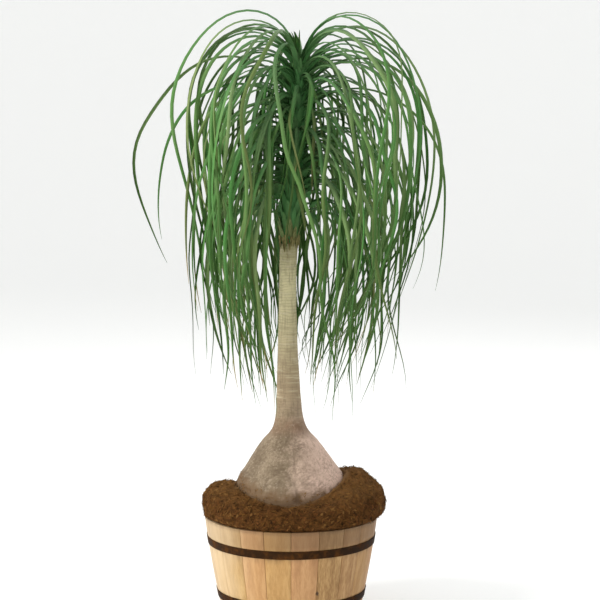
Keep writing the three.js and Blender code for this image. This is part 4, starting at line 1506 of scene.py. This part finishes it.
class StageSettings(bpy.types.PropertyGroup):
    distance: size("Distance", "From the camera to the trunk", 6.04)
    eye_height: size("Eye height", "Height of the camera", 1.65)
    pitch: angle("Pitch", "How far the camera looks down", 6.87)
    focal_px: scalar("Focal length", "Focal length in pixels of a frame 600 pixels wide", 2130.0)
    axis_px: scalar("Trunk column", "Pixel column of the tub's middle in the frame", 291.0)
    glow: scalar("Glow", "How much the floor and wall shine by themselves", 0.12)
    floor: colour("Floor", "Colour of the floor", 246, 247, 247)


def add_light(name, place, target, width, power, tint):
    """A soft round light that looks at a target."""
    data = bpy.data.lights.new(name, "AREA")
    data.shape = "DISK"
    data.size = width
    data.energy = power
    data.color = tint
    light = new_object(name, data)
    light.location = place
    light.rotation_euler = (Vector(target) - Vector(place)).to_track_quat("-Z", "Y").to_euler()


def add_camera(settings):
    """The photograph's camera, as far as the tub's hoops tell."""
    data = bpy.data.cameras.new("camera")
    data.sensor_width = 36.0
    data.lens = settings.focal_px / FRAME_PX * data.sensor_width
    camera = new_object("camera", data)
    aside = (FRAME_PX / 2 - settings.axis_px) / settings.focal_px * settings.distance
    camera.location = (aside, -settings.distance, settings.eye_height)
    camera.rotation_euler = (radians(90) - settings.pitch, 0, 0)
    bpy.context.scene.camera = camera


def add_world():
    """An even, pale sky all round."""
    world = bpy.data.worlds.new("studio")
    world.use_nodes = True
    background = world.node_tree.nodes["Background"]
    background.inputs["Color"].default_value = SKY
    background.inputs["Strength"].default_value = SKY_STRENGTH
    bpy.context.scene.world = world


def sweep_mesh():
    """A round floor that rises softly into a wall all round, behind every view."""
    flat, bend, height, sides, steps = 9.0, 5.0, 7.0, 96, 14
    profile = [(flat * part, 0.0) for part in (0.25, 0.5, 0.75, 1.0)]
    for step in range(1, steps + 1):
        turn = pi / 2 * step / steps
        profile.append((flat + bend * sin(turn), bend * (1 - cos(turn))))
    profile.append((flat + bend, height))
    points = [point for radius, z in profile for point in ring(0, radius, z, sides)]
    faces = [tuple(range(sides)), *(face[::-1] for face in ring_faces(len(profile), sides))]
    return mesh_from("floor", points, faces)


class PALM_OT_stage(bpy.types.Operator):
    """Sets the camera, a plain pale floor and soft studio light."""

    bl_idname = "palm.stage"
    bl_label = "Stage"

    def execute(self, context):
        settings = context.scene.palm_stage
        add_camera(settings)
        floor = new_object("floor", sweep_mesh())
        look = Finish("Floor", settings.floor, Roughness=0.9, Emission_Strength=settings.glow)
        look.set(Emission_Color=look.paint(settings.floor))
        floor.data.materials.append(look.finish())
        shade(floor)
        add_world()
        for name, light in LIGHTS.items():
            add_light(name, *light)
        context.scene.view_settings.view_transform = "Standard"
        return {"FINISHED"}


class PALM_PT_panel(bpy.types.Panel):
    """Lists the pieces of the palm and their sizes and colours."""

    bl_idname = "PALM_PT_panel"
    bl_label = "Potted Ponytail Palm"
    bl_space_type = "VIEW_3D"
    bl_region_type = "UI"
    bl_category = "Palm"

    def draw(self, context):
        for operator, group, _ in STEPS:
            box = self.layout.box()
            box.operator(operator.bl_idname)
            settings = getattr(context.scene, group)
            for name in settings.__annotations__:
                box.prop(settings, name)


# Each step, in order: its operator, and the name and class of its settings
STEPS = (
    (PALM_OT_stage, "palm_stage", StageSettings),
    (PALM_OT_staves, "palm_tub", TubSettings),
    (PALM_OT_hoops, "palm_hoops", HoopSettings),
    (PALM_OT_stem, "palm_stem", StemSettings),
    (PALM_OT_mulch, "palm_mulch", MulchSettings),
    (PALM_OT_leaves, "palm_crown", CrownSettings),
)


def register():
    for operator, group, settings in STEPS:
        bpy.utils.register_class(settings)
        bpy.utils.register_class(operator)
        setattr(bpy.types.Scene, group, PointerProperty(type=settings))
    bpy.utils.register_class(PALM_PT_panel)


def unregister():
    bpy.utils.unregister_class(PALM_PT_panel)
    for operator, group, settings in reversed(STEPS):
        delattr(bpy.types.Scene, group)
        bpy.utils.unregister_class(operator)
        bpy.utils.unregister_class(settings)


def main():
    register()
    bpy.ops.palm.stage()
    bpy.ops.palm.staves()
    bpy.ops.palm.hoops()
    bpy.ops.palm.stem()
    bpy.ops.palm.mulch()
    bpy.ops.palm.leaves()


if __name__ == "__main__":
    main()
